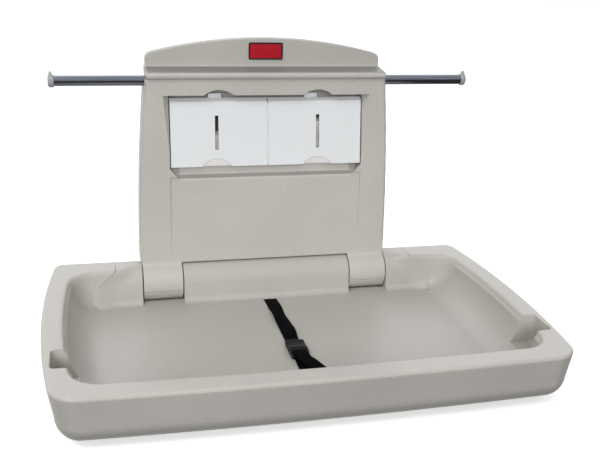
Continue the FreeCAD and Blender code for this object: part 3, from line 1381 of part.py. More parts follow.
place("buckle_rear_y", "buckle_y + (buckle_length + plug_length) / 2")
place("buckle_seam_y", "buckle_rear_y - buckle_length")
place("buckle_front_y", "buckle_seam_y - plug_length")
place("anchor_top_z", "floor_under_z - seat_gap")
place("strap_mid_z", "strap_z + strap_thick / 2")
place("slot_mid_z", "strap_z + buckle_thick / 2 - 1")
doc.recompute()


def strap(slot_y, towards, end_y):
    """One half of the strap, from under its anchor to just inside the buckle."""
    fold = value("anchor_top_z") - value("anchor_wall") - value("seat_gap") - value("strap_thick") / 2
    run, rise_z = value("strap_mid_z"), value("slot_mid_z")
    bend = value("strap_thick")
    path = [(slot_y - towards * value("strap_fold"), fold), (slot_y - towards * bend, fold),
            (slot_y, fold + bend), (slot_y, run - 1.5 * bend),
            (slot_y + towards * 0.5 * bend, run - 0.5 * bend), (slot_y + towards * 1.5 * bend, run),
            (end_y - towards * 10 * bend, run), (end_y - towards * 2 * bend, rise_z),
            (end_y + towards * 3 * bend, rise_z)]
    return ribbon(path, value("strap_width") / 2)


feature("strap_rear", strap(value("strap_rear_y"), -1, value("buckle_rear_y")))
feature("strap_front", strap(value("strap_front_y"), 1, value("buckle_front_y")))
for name in ("rear", "front"):
    at = f"strap_{name}_y"
    body = block(f"anchor_{name}", ("-anchor_length / 2", "anchor_length / 2"),
                 (f"{at} - anchor_depth / 2", f"{at} + anchor_depth / 2"),
                 ("anchor_top_z - anchor_wall", "anchor_top_z"))
    hole = block(f"anchor_slot_{name}", ("-strap_width / 2 - 0.5", "strap_width / 2 + 0.5"),
                 (f"{at} - strap_thick / 2 - 1.2", f"{at} + strap_thick / 2 + 1.2"),
                 ("anchor_top_z - anchor_wall - 1", "anchor_top_z + 1"))
    keep(f"strap_anchor_{name}", cut(f"strap_anchor_{name}", body, [hole]))

# The free end of the webbing, past the buckle and off to the right
half = value("strap_width") / 2
wires = []
for step in range(ARC_STEPS + 1):
    share = step / ARC_STEPS
    ease = (1 + math.cos(math.pi * min(1, 2 * share))) / 2
    lift = value("tail_rest") + (value("tail_start") - value("tail_rest")) * ease
    x = share * value("tail_shift")
    y = value("buckle_front_y") - value("seat_gap") - share * value("tail_length")
    low = value("strap_mid_z") + lift
    high = low + value("strap_thick")
    corners = [Vector(x - half, y, low), Vector(x + half, y, low), Vector(x + half, y, high),
               Vector(x - half, y, high)]
    wires.append(Part.makePolygon(corners + corners[:1]))
feature("strap_tail", loft(wires))


def buckle_block(rear, front, thick):
    half = value("buckle_width") / 2
    body = slab((-half, half), (front, rear), (value("strap_z"), value("strap_z") + thick))
    body = round_edges(body, 4, lambda edge: along(edge, Z))
    return round_edges(body, 2, lambda edge: abs(edge.CenterOfMass.z - value("strap_z") - thick) < 1e-6)


def webbing_slot(y, towards):
    half = value("strap_width") / 2 + 0.3
    reach = value("strap_thick") / 2 + 0.3
    near, far = sorted((y + towards * 1, y - towards * 6))
    return slab((-half, half), (near, far), (value("slot_mid_z") - reach, value("slot_mid_z") + reach))


# The buckle's socket, with side windows, and its plug with two spring arms
low, thick, wall = value("strap_z"), value("buckle_thick"), value("buckle_wall")
half = value("buckle_width") / 2
rear_y, seam_y, front_y = value("buckle_rear_y"), value("buckle_seam_y"), value("buckle_front_y")
deep = seam_y + value("prong_length") + 1
socket = buckle_block(rear_y, seam_y, thick)
socket = socket.cut(slab((-half + wall, half - wall), (seam_y - 1, deep), (low + wall, low + thick - wall)))
socket = socket.cut(slab((-half - 1, half + 1), (deep - 12, deep - 4), (low + wall, low + thick - wall)))
socket = socket.cut(webbing_slot(rear_y, 1))
feature("buckle_socket", socket.removeSplitter())
plug = buckle_block(seam_y - 0.3, front_y, thick)
plug = plug.cut(webbing_slot(front_y, -1))
arm_low, arm_high = low + wall + 0.3, low + thick - wall - 0.3
for side in (-1, 1):
    outer = side * (half - wall - 0.5)
    inner = outer - side * value("prong_width")
    x = (min(outer, inner), max(outer, inner))
    plug = plug.fuse(slab(x, (seam_y - 2, seam_y + value("prong_length")), (arm_low, arm_high)))
plug = plug.fuse(slab((-2, 2), (seam_y - 2, seam_y + 0.7 * value("prong_length")), (arm_low, arm_high)))
feature("buckle_plug", plug.removeSplitter())

doc.recompute()
for thing in doc.Objects:
    if "Invalid" in thing.State or "Error" in thing.State:
        raise RuntimeError(f"{thing.Label}: {thing.State}")
for label, thing in nodes.items():
    if thing.Shape.isNull() or not thing.Shape.isValid() or not thing.Shape.Solids:
        raise RuntimeError(f"{label}: its shape isn't a valid solid")
os.makedirs("parts", exist_ok=True)
for label, thing in nodes.items():
    thing.Shape.exportStep(f"parts/{label}.step")
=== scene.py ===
"""Fold-down baby changing station on its wall panel, dressed for a studio picture."""
import math

import bmesh
import bpy
from mathutils import Matrix, Vector
from mathutils.bvhtree import BVHTree


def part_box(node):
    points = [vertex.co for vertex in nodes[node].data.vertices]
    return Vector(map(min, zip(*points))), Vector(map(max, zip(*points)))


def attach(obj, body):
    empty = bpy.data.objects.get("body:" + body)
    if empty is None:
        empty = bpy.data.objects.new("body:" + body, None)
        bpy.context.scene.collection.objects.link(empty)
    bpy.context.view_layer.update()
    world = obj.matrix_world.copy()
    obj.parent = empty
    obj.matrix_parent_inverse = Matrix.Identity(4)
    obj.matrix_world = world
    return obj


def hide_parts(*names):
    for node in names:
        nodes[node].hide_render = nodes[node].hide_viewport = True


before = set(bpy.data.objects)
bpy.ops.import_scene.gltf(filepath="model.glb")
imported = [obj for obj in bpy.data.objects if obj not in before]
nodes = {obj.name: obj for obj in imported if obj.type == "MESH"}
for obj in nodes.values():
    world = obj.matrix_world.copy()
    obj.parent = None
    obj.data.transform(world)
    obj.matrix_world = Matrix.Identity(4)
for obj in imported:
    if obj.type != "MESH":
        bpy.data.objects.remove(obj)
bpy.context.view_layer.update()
scene = bpy.context.scene

# The picture: a camera a little left of the station and above its rim, a pale floor just under
# the tray, soft lamps high on the left, in front and on the right, and a bright room behind.
scene.view_settings.view_transform = "Standard"
turn, climb, tilt = math.radians(-14.06), math.radians(18.25), math.radians(1.80)
behind = Vector((math.sin(turn) * math.cos(climb), -math.cos(turn) * math.cos(climb), math.sin(climb)))
across = Vector((math.cos(turn), math.sin(turn), 0))
upward = behind.cross(across)
level_across = across * math.cos(tilt) + upward * math.sin(tilt)
level_upward = upward * math.cos(tilt) - across * math.sin(tilt)
camera = bpy.data.objects.new("camera", bpy.data.cameras.new("camera"))
camera.data.lens = 51.1
camera.data.sensor_width = 36
camera.data.sensor_fit = "HORIZONTAL"
camera.data.clip_start = 0.01
seat = Matrix((level_across, level_upward, behind)).transposed().to_4x4()
camera.matrix_world = Matrix.Translation((-0.3246, -1.6302, 0.4101)) @ seat
scene.collection.objects.link(camera)
scene.camera = camera


def feed(tree, port, source):
    """Sets an input to a constant, or links it to another node's output."""
    if isinstance(source, bpy.types.NodeSocket):
        tree.links.new(source, port)
    else:
        port.default_value = source


def add(tree, kind, links=None, **values):
    """A node with its inputs set by name, to a constant or to another node's output."""
    node = tree.nodes.new(kind)
    for name, value in values.items():
        node.inputs[name].default_value = value
    for name, source in (links or {}).items():
        tree.links.new(source, node.inputs[name])
    return node


def calc(tree, operation, first, second=0.0):
    """A sum on one or two values, each a constant or another node's output."""
    node = tree.nodes.new("ShaderNodeMath")
    node.operation = operation
    feed(tree, node.inputs[0], first)
    feed(tree, node.inputs[1], second)
    return node.outputs["Value"]


world = bpy.data.worlds.new("studio")
world.use_nodes = True
sky = world.node_tree
sky.nodes.clear()
compass = sky.nodes.new("ShaderNodeTexCoord")
heading = add(sky, "ShaderNodeSeparateXYZ", {"Vector": compass.outputs["Generated"]})
ceiling = add(sky, "ShaderNodeMapRange", {"Value": heading.outputs["Z"]},
              **{"From Min": -0.1, "From Max": 0.4, "To Min": 0.05, "To Max": 0.518})
backdrop = add(sky, "ShaderNodeMapRange", {"Value": heading.outputs["Y"]},
               **{"From Min": 0.1, "From Max": 0.8, "To Min": 0.0, "To Max": 1.046})
glow = calc(sky, "ADD", ceiling.outputs["Result"], backdrop.outputs["Result"])
room = add(sky, "ShaderNodeBackground", {"Strength": glow}, Color=(1, 1, 1, 1))
white_room = add(sky, "ShaderNodeBackground", Color=(1, 1, 1, 1), Strength=1.0)
ray = sky.nodes.new("ShaderNodeLightPath")
seen = add(sky, "ShaderNodeMixShader",
           {0: ray.outputs["Is Camera Ray"], 1: room.outputs[0], 2: white_room.outputs[0]})
studio = sky.nodes.new("ShaderNodeOutputWorld")
sky.links.new(seen.outputs[0], studio.inputs["Surface"])
scene.world = world

floor_mesh = bpy.data.meshes.new("floor")
clear_of_tray, reach = 0.006, 12
floor_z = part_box("tray_underside")[0][2] - clear_of_tray
corners = ((-reach, -reach), (reach, -reach), (reach, reach), (-reach, reach))
floor_mesh.from_pydata([(x, y, floor_z) for x, y in corners], [], [(0, 1, 2, 3)])
floor = bpy.data.objects.new("floor", floor_mesh)
scene.collection.objects.link(floor)
floor_paper = bpy.data.materials.new("floor_paper")
floor_paper.use_nodes = True
paper_tree = floor_paper.node_tree
shader = paper_tree.nodes["Principled BSDF"]
shader.inputs["Base Color"].default_value = (0.95, 0.95, 0.95, 1)
shader.inputs["Roughness"].default_value = 0.9
shader.inputs["Emission Color"].default_value = (1, 1, 1, 1)
shader.inputs["Emission Strength"].default_value = 0.42
below = paper_tree.nodes.new("ShaderNodeNewGeometry")
nothing = paper_tree.nodes.new("ShaderNodeBsdfTransparent")
one_sided = add(paper_tree, "ShaderNodeMixShader",
                {0: below.outputs["Backfacing"], 1: shader.outputs["BSDF"], 2: nothing.outputs["BSDF"]})
paper_tree.links.new(one_sided.outputs[0], paper_tree.nodes["Material Output"].inputs["Surface"])
floor_mesh.materials.append(floor_paper)
floor.visible_diffuse = False
floor.visible_glossy = False


def lamp(name, place, power, mirrored):
    """A round soft lamp aimed at the middle of the station, shown in its shine or kept out of it."""
    target, width = Vector((0, -0.25, -0.1)), 1.7
    light = bpy.data.lights.new(name, "AREA")
    light.shape = "DISK"
    light.size = width
    light.energy = power
    thing = bpy.data.objects.new(name, light)
    aim = target - Vector(place)
    thing.matrix_world = Matrix.Translation(place) @ aim.to_track_quat("-Z", "Y").to_matrix().to_4x4()
    thing.visible_glossy = mirrored
    scene.collection.objects.link(thing)


lamp("high_left_lamp", (-2.25, -2.275, 3.23), 65, True)
lamp("front_lamp", (-0.90, -4.51, 1.02), 111, False)
lamp("right_lamp", (2.92, -3.485, 1.02), 11, False)


# The steel work behind the panel: a plate on the wall with two riveted hinge brackets, and the
# hinge pins with their spring clips. Pressed sheet and turned bar, all zinc plated.
def principled(name):
    """A new material with its tree, its shader and the piece's own coordinates."""
    material = bpy.data.materials.new(name)
    material.use_nodes = True
    tree = material.node_tree
    place = tree.nodes.new("ShaderNodeTexCoord").outputs["Object"]
    return material, tree, tree.nodes["Principled BSDF"], place


def ramp(tree, source, low, high, start=0.3, end=0.7):
    """Two colours across part of a pattern's range."""
    node = add(tree, "ShaderNodeValToRGB", {"Fac": source})
    for element, position, colour in zip(node.color_ramp.elements, (start, end), (low, high)):
        element.position = position
        element.color = (*colour, 1)
    return node.outputs["Color"]


def spread(tree, source, low, high):
    """Turns a pattern from 0 to 1 into a range of its own."""
    ranged = add(tree, "ShaderNodeMapRange", {"Value": source}, **{"To Min": low, "To Max": high})
    return ranged.outputs["Result"]


def noise(tree, place, scale, detail):
    """A noise pattern, from 0 to 1."""
    return add(tree, "ShaderNodeTexNoise", {"Vector": place}, Scale=scale, Detail=detail).outputs["Fac"]


def times(colour, share):
    """A colour with each channel multiplied."""
    return [channel * share for channel in colour]


def multiply(tree, colour, tint, share):
    """A colour times a tint, by a share; each is a constant or another node's output."""
    mixed = tree.nodes.new("ShaderNodeMix")
    mixed.data_type = "RGBA"
    mixed.blend_type = "MULTIPLY"
    for port, source in ((0, share), (6, colour), (7, tint)):
        feed(tree, mixed.inputs[port], source)
    return mixed.outputs[2]


def paint(tree, shader, colour, roughness):
    """Links a shader's colour and roughness to patterns."""
    tree.links.new(colour, shader.inputs["Base Color"])
    tree.links.new(roughness, shader.inputs["Roughness"])


def raise_grain(tree, shader, height, strength, distance, soft=0.0):
    """Bump from a pattern, over edges that are eased by a small radius."""
    links = {"Height": height}
    if soft:
        eased = add(tree, "ShaderNodeBevel", Radius=soft)
        eased.samples = 4
        links["Normal"] = eased.outputs["Normal"]
    bump = add(tree, "ShaderNodeBump", links, Strength=strength, Distance=distance)
    tree.links.new(bump.outputs["Normal"], shader.inputs["Normal"])


def plated_steel(name, colour, roughness, stretch):
    """Zinc plate with spangle and stains, and fine streaks drawn out by a stretch along each axis."""
    material, tree, shader, place = principled(name)
    shader.inputs["Metallic"].default_value = 1.0
    spangle = add(tree, "ShaderNodeTexVoronoi", {"Vector": place}, Scale=55.0)
    drawn = add(tree, "ShaderNodeMapping", {"Vector": place}, Scale=stretch)
    streak = noise(tree, drawn.outputs["Vector"], 320.0, 4.0)
    grey = ramp(tree, spangle.outputs["Color"], times(colour, 0.86), times(colour, 1.08), 0.1, 0.9)
    stain = ramp(tree, noise(tree, place, 14.0, 6.0), (0.82, 0.80, 0.76), (1, 1, 1))
    paint(tree, shader, multiply(tree, grey, stain, 0.8),
          spread(tree, streak, roughness - 0.1, roughness + 0.12))
    raise_grain(tree, shader, streak, 0.12, 0.0001, 0.0004)
    return material


def dress(material, *names):
    """Gives CAD nodes a material in place of their own."""
    for name in names:
        nodes[name].data.materials.clear()
        nodes[name].data.materials.append(material)


zinc_sheet = plated_steel("zinc_sheet", (0.58, 0.60, 0.62), 0.38, (1, 1, 0.06))
zinc_bar = plated_steel("zinc_bar", (0.62, 0.62, 0.60), 0.28, (0.05, 1, 1))
dress(zinc_sheet, "back_plate", "wall_bracket_left", "wall_bracket_right")
dress(zinc_bar, "bracket_rivets", "hinge_pin_left", "hinge_pin_right", "pin_clips")


# The panel and the caps under its knuckles: grey-beige polyethylene from a pebbled mould, with
# soft edges. The panel is screwed to the back plate from behind, and the caps from below.
def moulding(name, colour, roughness, pebble, soft, fleck=0.05):
    """Plastic from a textured mould: pebbles and fine grain, with flow marks and flecks in its colour."""
    material, tree, shader, place = principled(name)
    shader.inputs["IOR"].default_value = 1.5
    cells = add(tree, "ShaderNodeTexVoronoi", {"Vector": place}, Scale=620.0)
    cells.feature = "SMOOTH_F1"
    grain = noise(tree, place, 1500.0, 2.0)
    flow = noise(tree, place, 7.0, 5.0)
    speck = noise(tree, place, 420.0, 1.0)
    shade = ramp(tree, flow, times(colour, 1 - 0.9 * fleck), times(colour, 1 + 0.6 * fleck))
    dots = ramp(tree, speck, [1 - fleck] * 3, [1 + 0.4 * fleck] * 3, 0.35, 0.65)
    scuff = calc(tree, "MULTIPLY", flow, grain)
    paint(tree, shader, multiply(tree, shade, dots, 1.0),
          spread(tree, scuff, roughness - 0.1, roughness + 0.2))
    height = calc(tree, "ADD", cells.outputs["Distance"], grain)
    raise_grain(tree, shader, height, pebble, 0.00022, soft)
    return material


def show(name, mesh, sharp_deg=35):
    """Puts a finished mesh in the scene, smooth but for its sharp edges."""
    for face in mesh.polygons:
        face.use_smooth = True
    mesh.set_sharp_from_angle(angle=math.radians(sharp_deg))
    thing = bpy.data.objects.new(name, mesh)
    scene.collection.objects.link(thing)
    return thing


def soften(node, piece, body, material, sharp_deg=30):
    """A moulding's skin with its facets merged, so that it shades as one soft surface."""
    mesh = nodes[node].data.copy()
    merged = bmesh.new()
    merged.from_mesh(mesh)
    bmesh.ops.remove_doubles(merged, verts=merged.verts, dist=0.00001)
    merged.to_mesh(mesh)
    merged.free()
    if "custom_normal" in mesh.attributes:
        mesh.attributes.remove(mesh.attributes["custom_normal"])
    mesh.materials.clear()
    mesh.materials.append(material)
    thing = show(f"{piece}_raw", mesh, sharp_deg)
    weighted = thing.modifiers.new("weighted", "WEIGHTED_NORMAL")
    weighted.keep_sharp = True
    ready = bpy.context.evaluated_depsgraph_get()
    smooth = bpy.data.meshes.new_from_object(thing.evaluated_get(ready), depsgraph=ready)
    bpy.data.objects.remove(thing)
    thing = bpy.data.objects.new(piece, smooth)
    scene.collection.objects.link(thing)
    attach(thing, body)
    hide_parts(node)
    return thing


def inside(tree, low, high, soft):
    """A mask inside a box of the piece's own coordinates, the same left and right, with soft sides."""
    place = tree.nodes.new("ShaderNodeTexCoord").outputs["Object"]
    where = add(tree, "ShaderNodeSeparateXYZ", {"Vector": place}).outputs
    mask = 1.0
    for source, start, end in zip((calc(tree, "ABSOLUTE", where["X"]), where["Y"], where["Z"]), low, high):
        for edge, step in ((start, soft), (end, -soft)):
            side = add(tree, "ShaderNodeMapRange", {"Value": source},
                       **{"From Min": edge - step, "From Max": edge + step})
            side.interpolation_type = "SMOOTHSTEP"
            mask = calc(tree, "MULTIPLY", mask, side.outputs["Result"])
    return mask


def tone(material, low, high, soft, tint):
    """Multiplies a box of a moulding's coordinates by a tint: painted shade where it darkens, painted light
    where it lightens, which the lamps don't give.
    """
    tree = material.node_tree
    colour = tree.nodes["Principled BSDF"].inputs["Base Color"]
    mask = inside(tree, low, high, soft)
    tree.links.new(multiply(tree, colour.links[0].from_socket, (*tint, 1), mask), colour)


platinum = moulding("platinum_moulding", (0.500, 0.482, 0.452), 0.42, 0.5, 0.0016)
# Painted shade on the panel: darker boxes on the ledge under the header, the header's band, the well behind
# the doors and the trough's face; painted light on the trough's slope.
painted_light_and_shade = {
    "ledge": ((-1, -0.069, 0.198), (1, -0.025, 0.209), 0.002, (0.42, 0.42, 0.42)),
    "header": ((-1, -0.03, 0.207), (1, 0.01, 0.30), 0.002, (0.89, 0.89, 0.88)),
    "well": ((-1, -0.052, 0.022), (0.183, 0.02, 0.138), 0.002, (0.25, 0.25, 0.25)),
    "trough_slope": ((-1, -0.053, 0.0045), (0.168, -0.034, 0.019), 0.0015, (1.5, 1.5, 1.5)),
    "trough_face": ((-1, -0.052, -0.004), (0.172, -0.048, 0.0045), 0.0008, (0.72, 0.72, 0.72)),
}
for low, high, soft, tint in painted_light_and_shade.values():
    tone(platinum, low, high, soft, tint)
soften("back_panel", "panel_skin", "wall_unit", platinum)
dress(platinum, "knuckle_cap_left", "knuckle_cap_right")


# The screws: small domed heads with a cross recess, in the back plate, the caps under the knuckles
# and the tray's underside. Cold-headed steel wire, zinc plated.
def screw_tree(material):
    """A screw on each point, along the point's axis and with its grip as the shank's length."""
    tree = bpy.data.node_groups.new("screws", "GeometryNodeTree")
    ports = tree.interface
    ports.new_socket("Places", in_out="INPUT", socket_type="NodeSocketGeometry")
    for name, size in (("Head radius", 0.004), ("Head height", 0.0018), ("Shank radius", 0.002),
                       ("Recess length", 0.0042), ("Recess width", 0.0009)):
        ports.new_socket(name, in_out="INPUT", socket_type="NodeSocketFloat").default_value = size
    ports.new_socket("Screws", in_out="OUTPUT", socket_type="NodeSocketGeometry")
    given = tree.nodes.new("NodeGroupInput").outputs
    dome = tree.nodes.new("GeometryNodeMeshUVSphere")
    dome.inputs["Segments"].default_value = 28
    dome.inputs["Rings"].default_value = 14
    dome.inputs["Radius"].default_value = 1.0
    squat = add(tree, "ShaderNodeCombineXYZ",
                {0: given["Head radius"], 1: given["Head radius"], 2: given["Head height"]})
    head = add(tree, "GeometryNodeTransform", {"Geometry": dome.outputs["Mesh"], "Scale": squat.outputs[0]})
    lift = add(tree, "ShaderNodeCombineXYZ", {2: given["Head height"]})
    bars = []
    for first, second in (("Recess length", "Recess width"), ("Recess width", "Recess length")):
        size = add(tree, "ShaderNodeCombineXYZ", {0: given[first], 1: given[second], 2: given["Head height"]})
        bar = add(tree, "GeometryNodeMeshCube", {"Size": size.outputs[0]})
        bars.append(add(tree, "GeometryNodeTransform",
                        {"Geometry": bar.outputs["Mesh"], "Translation": lift.outputs[0]}))
    carve = tree.nodes.new("GeometryNodeMeshBoolean")
    carve.operation = "DIFFERENCE"
    tree.links.new(head.outputs["Geometry"], carve.inputs[0])
    for bar in bars:
        tree.links.new(bar.outputs["Geometry"], carve.inputs[1])
    rod = tree.nodes.new("GeometryNodeMeshCylinder")
    rod.inputs["Vertices"].default_value = 20
    rod.inputs["Depth"].default_value = 1.0
    tree.links.new(given["Shank radius"], rod.inputs["Radius"])
    shank = add(tree, "GeometryNodeTransform", {"Geometry": rod.outputs["Mesh"]}, Translation=(0, 0, -0.5))
    axis = tree.nodes.new("GeometryNodeInputNamedAttribute")
    axis.data_type = "FLOAT_VECTOR"
    axis.inputs["Name"].default_value = "axis"
    aim = tree.nodes.new("FunctionNodeAlignRotationToVector")
    aim.axis = "Z"
    tree.links.new(axis.outputs["Attribute"], aim.inputs["Vector"])
    grip = tree.nodes.new("GeometryNodeInputNamedAttribute")
    grip.data_type = "FLOAT"
    grip.inputs["Name"].default_value = "grip"
    long = add(tree, "ShaderNodeCombineXYZ", {2: grip.outputs["Attribute"]}, X=1.0, Y=1.0)
    join = tree.nodes.new("GeometryNodeJoinGeometry")
    for shape, scale in ((carve.outputs["Mesh"], None), (shank.outputs["Geometry"], long.outputs[0])):
        spots = add(tree, "GeometryNodeInstanceOnPoints",
                    {"Points": given["Places"], "Instance": shape, "Rotation": aim.outputs["Rotation"]})
        if scale:
            tree.links.new(scale, spots.inputs["Scale"])
        tree.links.new(spots.outputs["Instances"], join.inputs[0])
    real = add(tree, "GeometryNodeRealizeInstances", {"Geometry": join.outputs[0]})
    coat = add(tree, "GeometryNodeSetMaterial", {"Geometry": real.outputs[0]})
    coat.inputs["Material"].default_value = material
    tree.links.new(coat.outputs[0], tree.nodes.new("NodeGroupOutput").inputs[0])
    return tree


def grow(name, seed, tree, **sizes):
    """Runs a tree on a seed mesh and keeps the result as a plain mesh in a new object."""
    host = bpy.data.objects.new(f"{name}_seed", seed)
    scene.collection.objects.link(host)
    run = host.modifiers.new("tree", "NODES")
    run.node_group = tree
    for port in tree.interface.items_tree:
        if port.in_out == "INPUT" and port.name in sizes:
            run[port.identifier] = sizes[port.name]
    ready = bpy.context.evaluated_depsgraph_get()
    mesh = bpy.data.meshes.new_from_object(host.evaluated_get(ready), depsgraph=ready)
    bpy.data.objects.remove(host)
    mesh.name = name
    return show(name, mesh)


def screws(name, body, spots, *replaced):
    """Screws at seats given as place, outward axis and grip, in millimetres."""
    seed = bpy.data.meshes.new(f"{name}_places")
    seed.from_pydata([[c / 1000 for c in place] for place, axis, grip in spots], [], [])
    seed.attributes.new("axis", "FLOAT_VECTOR", "POINT").data.foreach_set(
        "vector", [c for place, axis, grip in spots for c in axis])
    seed.attributes.new("grip", "FLOAT", "POINT").data.foreach_set(
        "value", [grip / 1000 for place, axis, grip in spots])
    thing = grow(name, seed, screw_shapes)
    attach(thing, body)
    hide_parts(*replaced)


screw_shapes = screw_tree(zinc_bar)
down, out_back = (0, 0, -1), (0, 1, 0)
plate_seat, cover_seat = -2, -254
seats = []
for side in (-1, 1):
    seats += [((side * 205.5, -26.5, -241.5), down, 17), ((side * 150, plate_seat, 207.5), out_back, 12),
              ((side * 60, plate_seat, -91), out_back, 12), ((side * 206, plate_seat, 182), out_back, 18)]
screws("panel_fixings", "wall_unit", seats, "cap_screws", "panel_screws", "saddle_screws")
cover_rows = ((-95, (-320.25, 0, 320.25)), (-271, (-360.25, 360.25)), (-516, (-288.2, 0, 288.2)))
screws("underside_screws", "tray", [((x, y, cover_seat), down, 6) for y, row in cover_rows for x in row],
       "cover_screws")


# The bag bar: a polished metal tube that runs through the panel's sides in two nylon saddles,
# with a grey moulded cap pressed on each end, whose ear keeps a bag's handle on.
def polished_tube(name, colour):
    """Bright drawn tube, with fine streaks along it and a slightly clouded shine."""
    material, tree, shader, place = principled(name)
    shader.inputs["Metallic"].default_value = 1.0
    shader.inputs["Specular Tint"].default_value = (0.75, 0.78, 0.84, 1)
    drawn = add(tree, "ShaderNodeMapping", {"Vector": place}, Scale=(0.02, 1, 1))
    streak = noise(tree, drawn.outputs["Vector"], 900.0, 3.0)
    cloud = noise(tree, place, 22.0, 4.0)
    paint(tree, shader, ramp(tree, streak, times(colour, 0.8), times(colour, 1.2)),
          spread(tree, cloud, 0.16, 0.3))
    raise_grain(tree, shader, streak, 0.05, 0.00005)
    return material


def skin(rings, close_first, close_last, materials=()):
    """A surface through rings of points that have the same count."""
    surface = bmesh.new()
    loops = [[surface.verts.new(point) for point in ring] for ring in rings]
    for index, (a, b) in enumerate(zip(loops, loops[1:])):
        for i in range(len(a)):
            j = (i + 1) % len(a)
            face = surface.faces.new((a[i], a[j], b[j], b[i]))
            face.material_index = materials[index] if materials else 0
    if close_first:
        surface.faces.new(loops[0][::-1])
    if close_last:
        surface.faces.new(loops[-1]).material_index = materials[-1] if materials else 0
    bmesh.ops.recalc_face_normals(surface, faces=surface.faces)
    mesh = bpy.data.meshes.new("skin")
    surface.to_mesh(mesh)
    surface.free()
    return mesh


def combine(mesh, other, operation):
    """One closed mesh from two, by union or difference."""
    things = []
    for name, part in (("kept", mesh), ("tool", other)):
        things.append(bpy.data.objects.new(name, part))
        scene.collection.objects.link(things[-1])
    body, tool = things
    join = body.modifiers.new("combine", "BOOLEAN")
    join.operation = operation
    join.solver = "EXACT"
    join.object = tool
    ready = bpy.context.evaluated_depsgraph_get()
    result = bpy.data.meshes.new_from_object(body.evaluated_get(ready), depsgraph=ready)
    for thing in things:
        bpy.data.objects.remove(thing)
    return result


def squarish(angle, power):
    """A point on a unit circle, pushed out towards the corners of a square."""
    c, s = math.cos(angle), math.sin(angle)
    return math.copysign(abs(c) ** power, c), math.copysign(abs(s) ** power, s)


dress(polished_tube("polished_tube", (0.31, 0.335, 0.39)), "hook_bar")
hook_plastic = moulding("hook_plastic", (0.36, 0.355, 0.36), 0.3, 0.1, 0.0006)
bar_y, bar_z, ear_x = -47, 182, 394.2
turns = [2 * math.pi * step / 40 for step in range(40)]
for name, side in (("left", -1), ("right", 1)):
    cap_rings, ear_rings = [], []
    for x, radius in ((388.0, 9.7), (388.2, 10.6), (389.0, 11.3), (391.0, 11.7), (394.0, 11.8), (396.4, 11.3),
                      (398.0, 10.0), (398.8, 8.2), (399.0, 6.0)):
        cap_rings.append([(side * x / 1000, (bar_y + radius * math.cos(a) * 0.93) / 1000,
                           (bar_z + radius * math.sin(a)) / 1000) for a in turns])
    for z, half_x, half_y in ((188.0, 3.2, 7.0), (192.5, 3.0, 6.4), (195.5, 2.7, 5.6), (197.4, 2.4, 4.8),
                              (198.4, 1.9, 3.9), (198.9, 1.1, 2.6)):
        ring = [squarish(a, 0.7) for a in turns]
        ear_rings.append([(side * (ear_x + half_x * c) / 1000, (bar_y + half_y * s) / 1000, z / 1000)
                          for c, s in ring])
    cap, ear = skin(cap_rings, True, True), skin(ear_rings, True, True)
    hook = show(f"bar_hook_{name}", combine(cap, ear, "UNION"), 40)
    hook.data.materials.clear()
    hook.data.materials.append(hook_plastic)
    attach(hook, "wall_unit")
    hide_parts(f"bar_end_{name}")
nylon = moulding("nylon", (0.72, 0.70, 0.64), 0.4, 0.12, 0.0005)
dress(nylon, "bar_saddle_left", "bar_saddle_right", "hinge_bushes")

# The two liner doors: smooth white mouldings that tilt on steel pins, each with a finger tab, a
# sight slot and a half-moon for drawing a liner. A thin lip on each closes the seam between them.
door_white = moulding("door_white", (0.72, 0.738, 0.757), 0.28, 0.03, 0.0008, 0.014)
dress(door_white, "door_left", "door_right")
dress(zinc_bar, "door_pins")
door_front, door_foot, lean = -64, 21.5, math.tan(math.radians(6.5))
lip_section = ((1.9, 0.5), (1.9, 0.02), (1.75, -0.04), (0.2, -0.04), (0.08, 0.06), (0.08, 2.2), (1.0, 2.3))
lip_x, lip_deep = 1.0, 1.1
for name, side in (("left", -1), ("right", 1)):
    lip_rings = []
    for rise, shrink in ((1.6, 0.5), (2.0, 0.1), (3.0, 0), (60.0, 0), (118.0, 0), (119.0, 0.1), (119.4, 0.5)):
        ring = []
        for x, deep in lip_section:
            ring.append((side * (lip_x + (x - lip_x) * (1 - shrink)) / 1000,
                         (door_front + lean * rise + lip_deep + (deep - lip_deep) * (1 - shrink)) / 1000,
                         (door_foot + rise) / 1000))
        lip_rings.append(ring)
    seam_lip = show(f"door_seam_lip_{name}", skin(lip_rings, True, True), 40)
    seam_lip.data.materials.append(door_white)
    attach(seam_lip, f"door_{name}")


# The paper liners: two stacks of folded crimped tissue on the well's ledge. The front ones lean
# on the door, and the tip of one is tucked in the door's half-moon and goes with it.
def tissue(name):
    """Crimped white paper with a faint cloud of pulp."""
    material, tree, shader, place = principled(name)
    crimp = noise(tree, place, 260.0, 4.0)
    pulp = noise(tree, place, 40.0, 3.0)
    paint(tree, shader, ramp(tree, pulp, (0.64, 0.635, 0.61), (0.71, 0.705, 0.68)),
          spread(tree, crimp, 0.8, 0.95))
    shader.inputs["Sheen Weight"].default_value = 0.1
    raise_grain(tree, shader, crimp, 0.25, 0.0002)
    return material


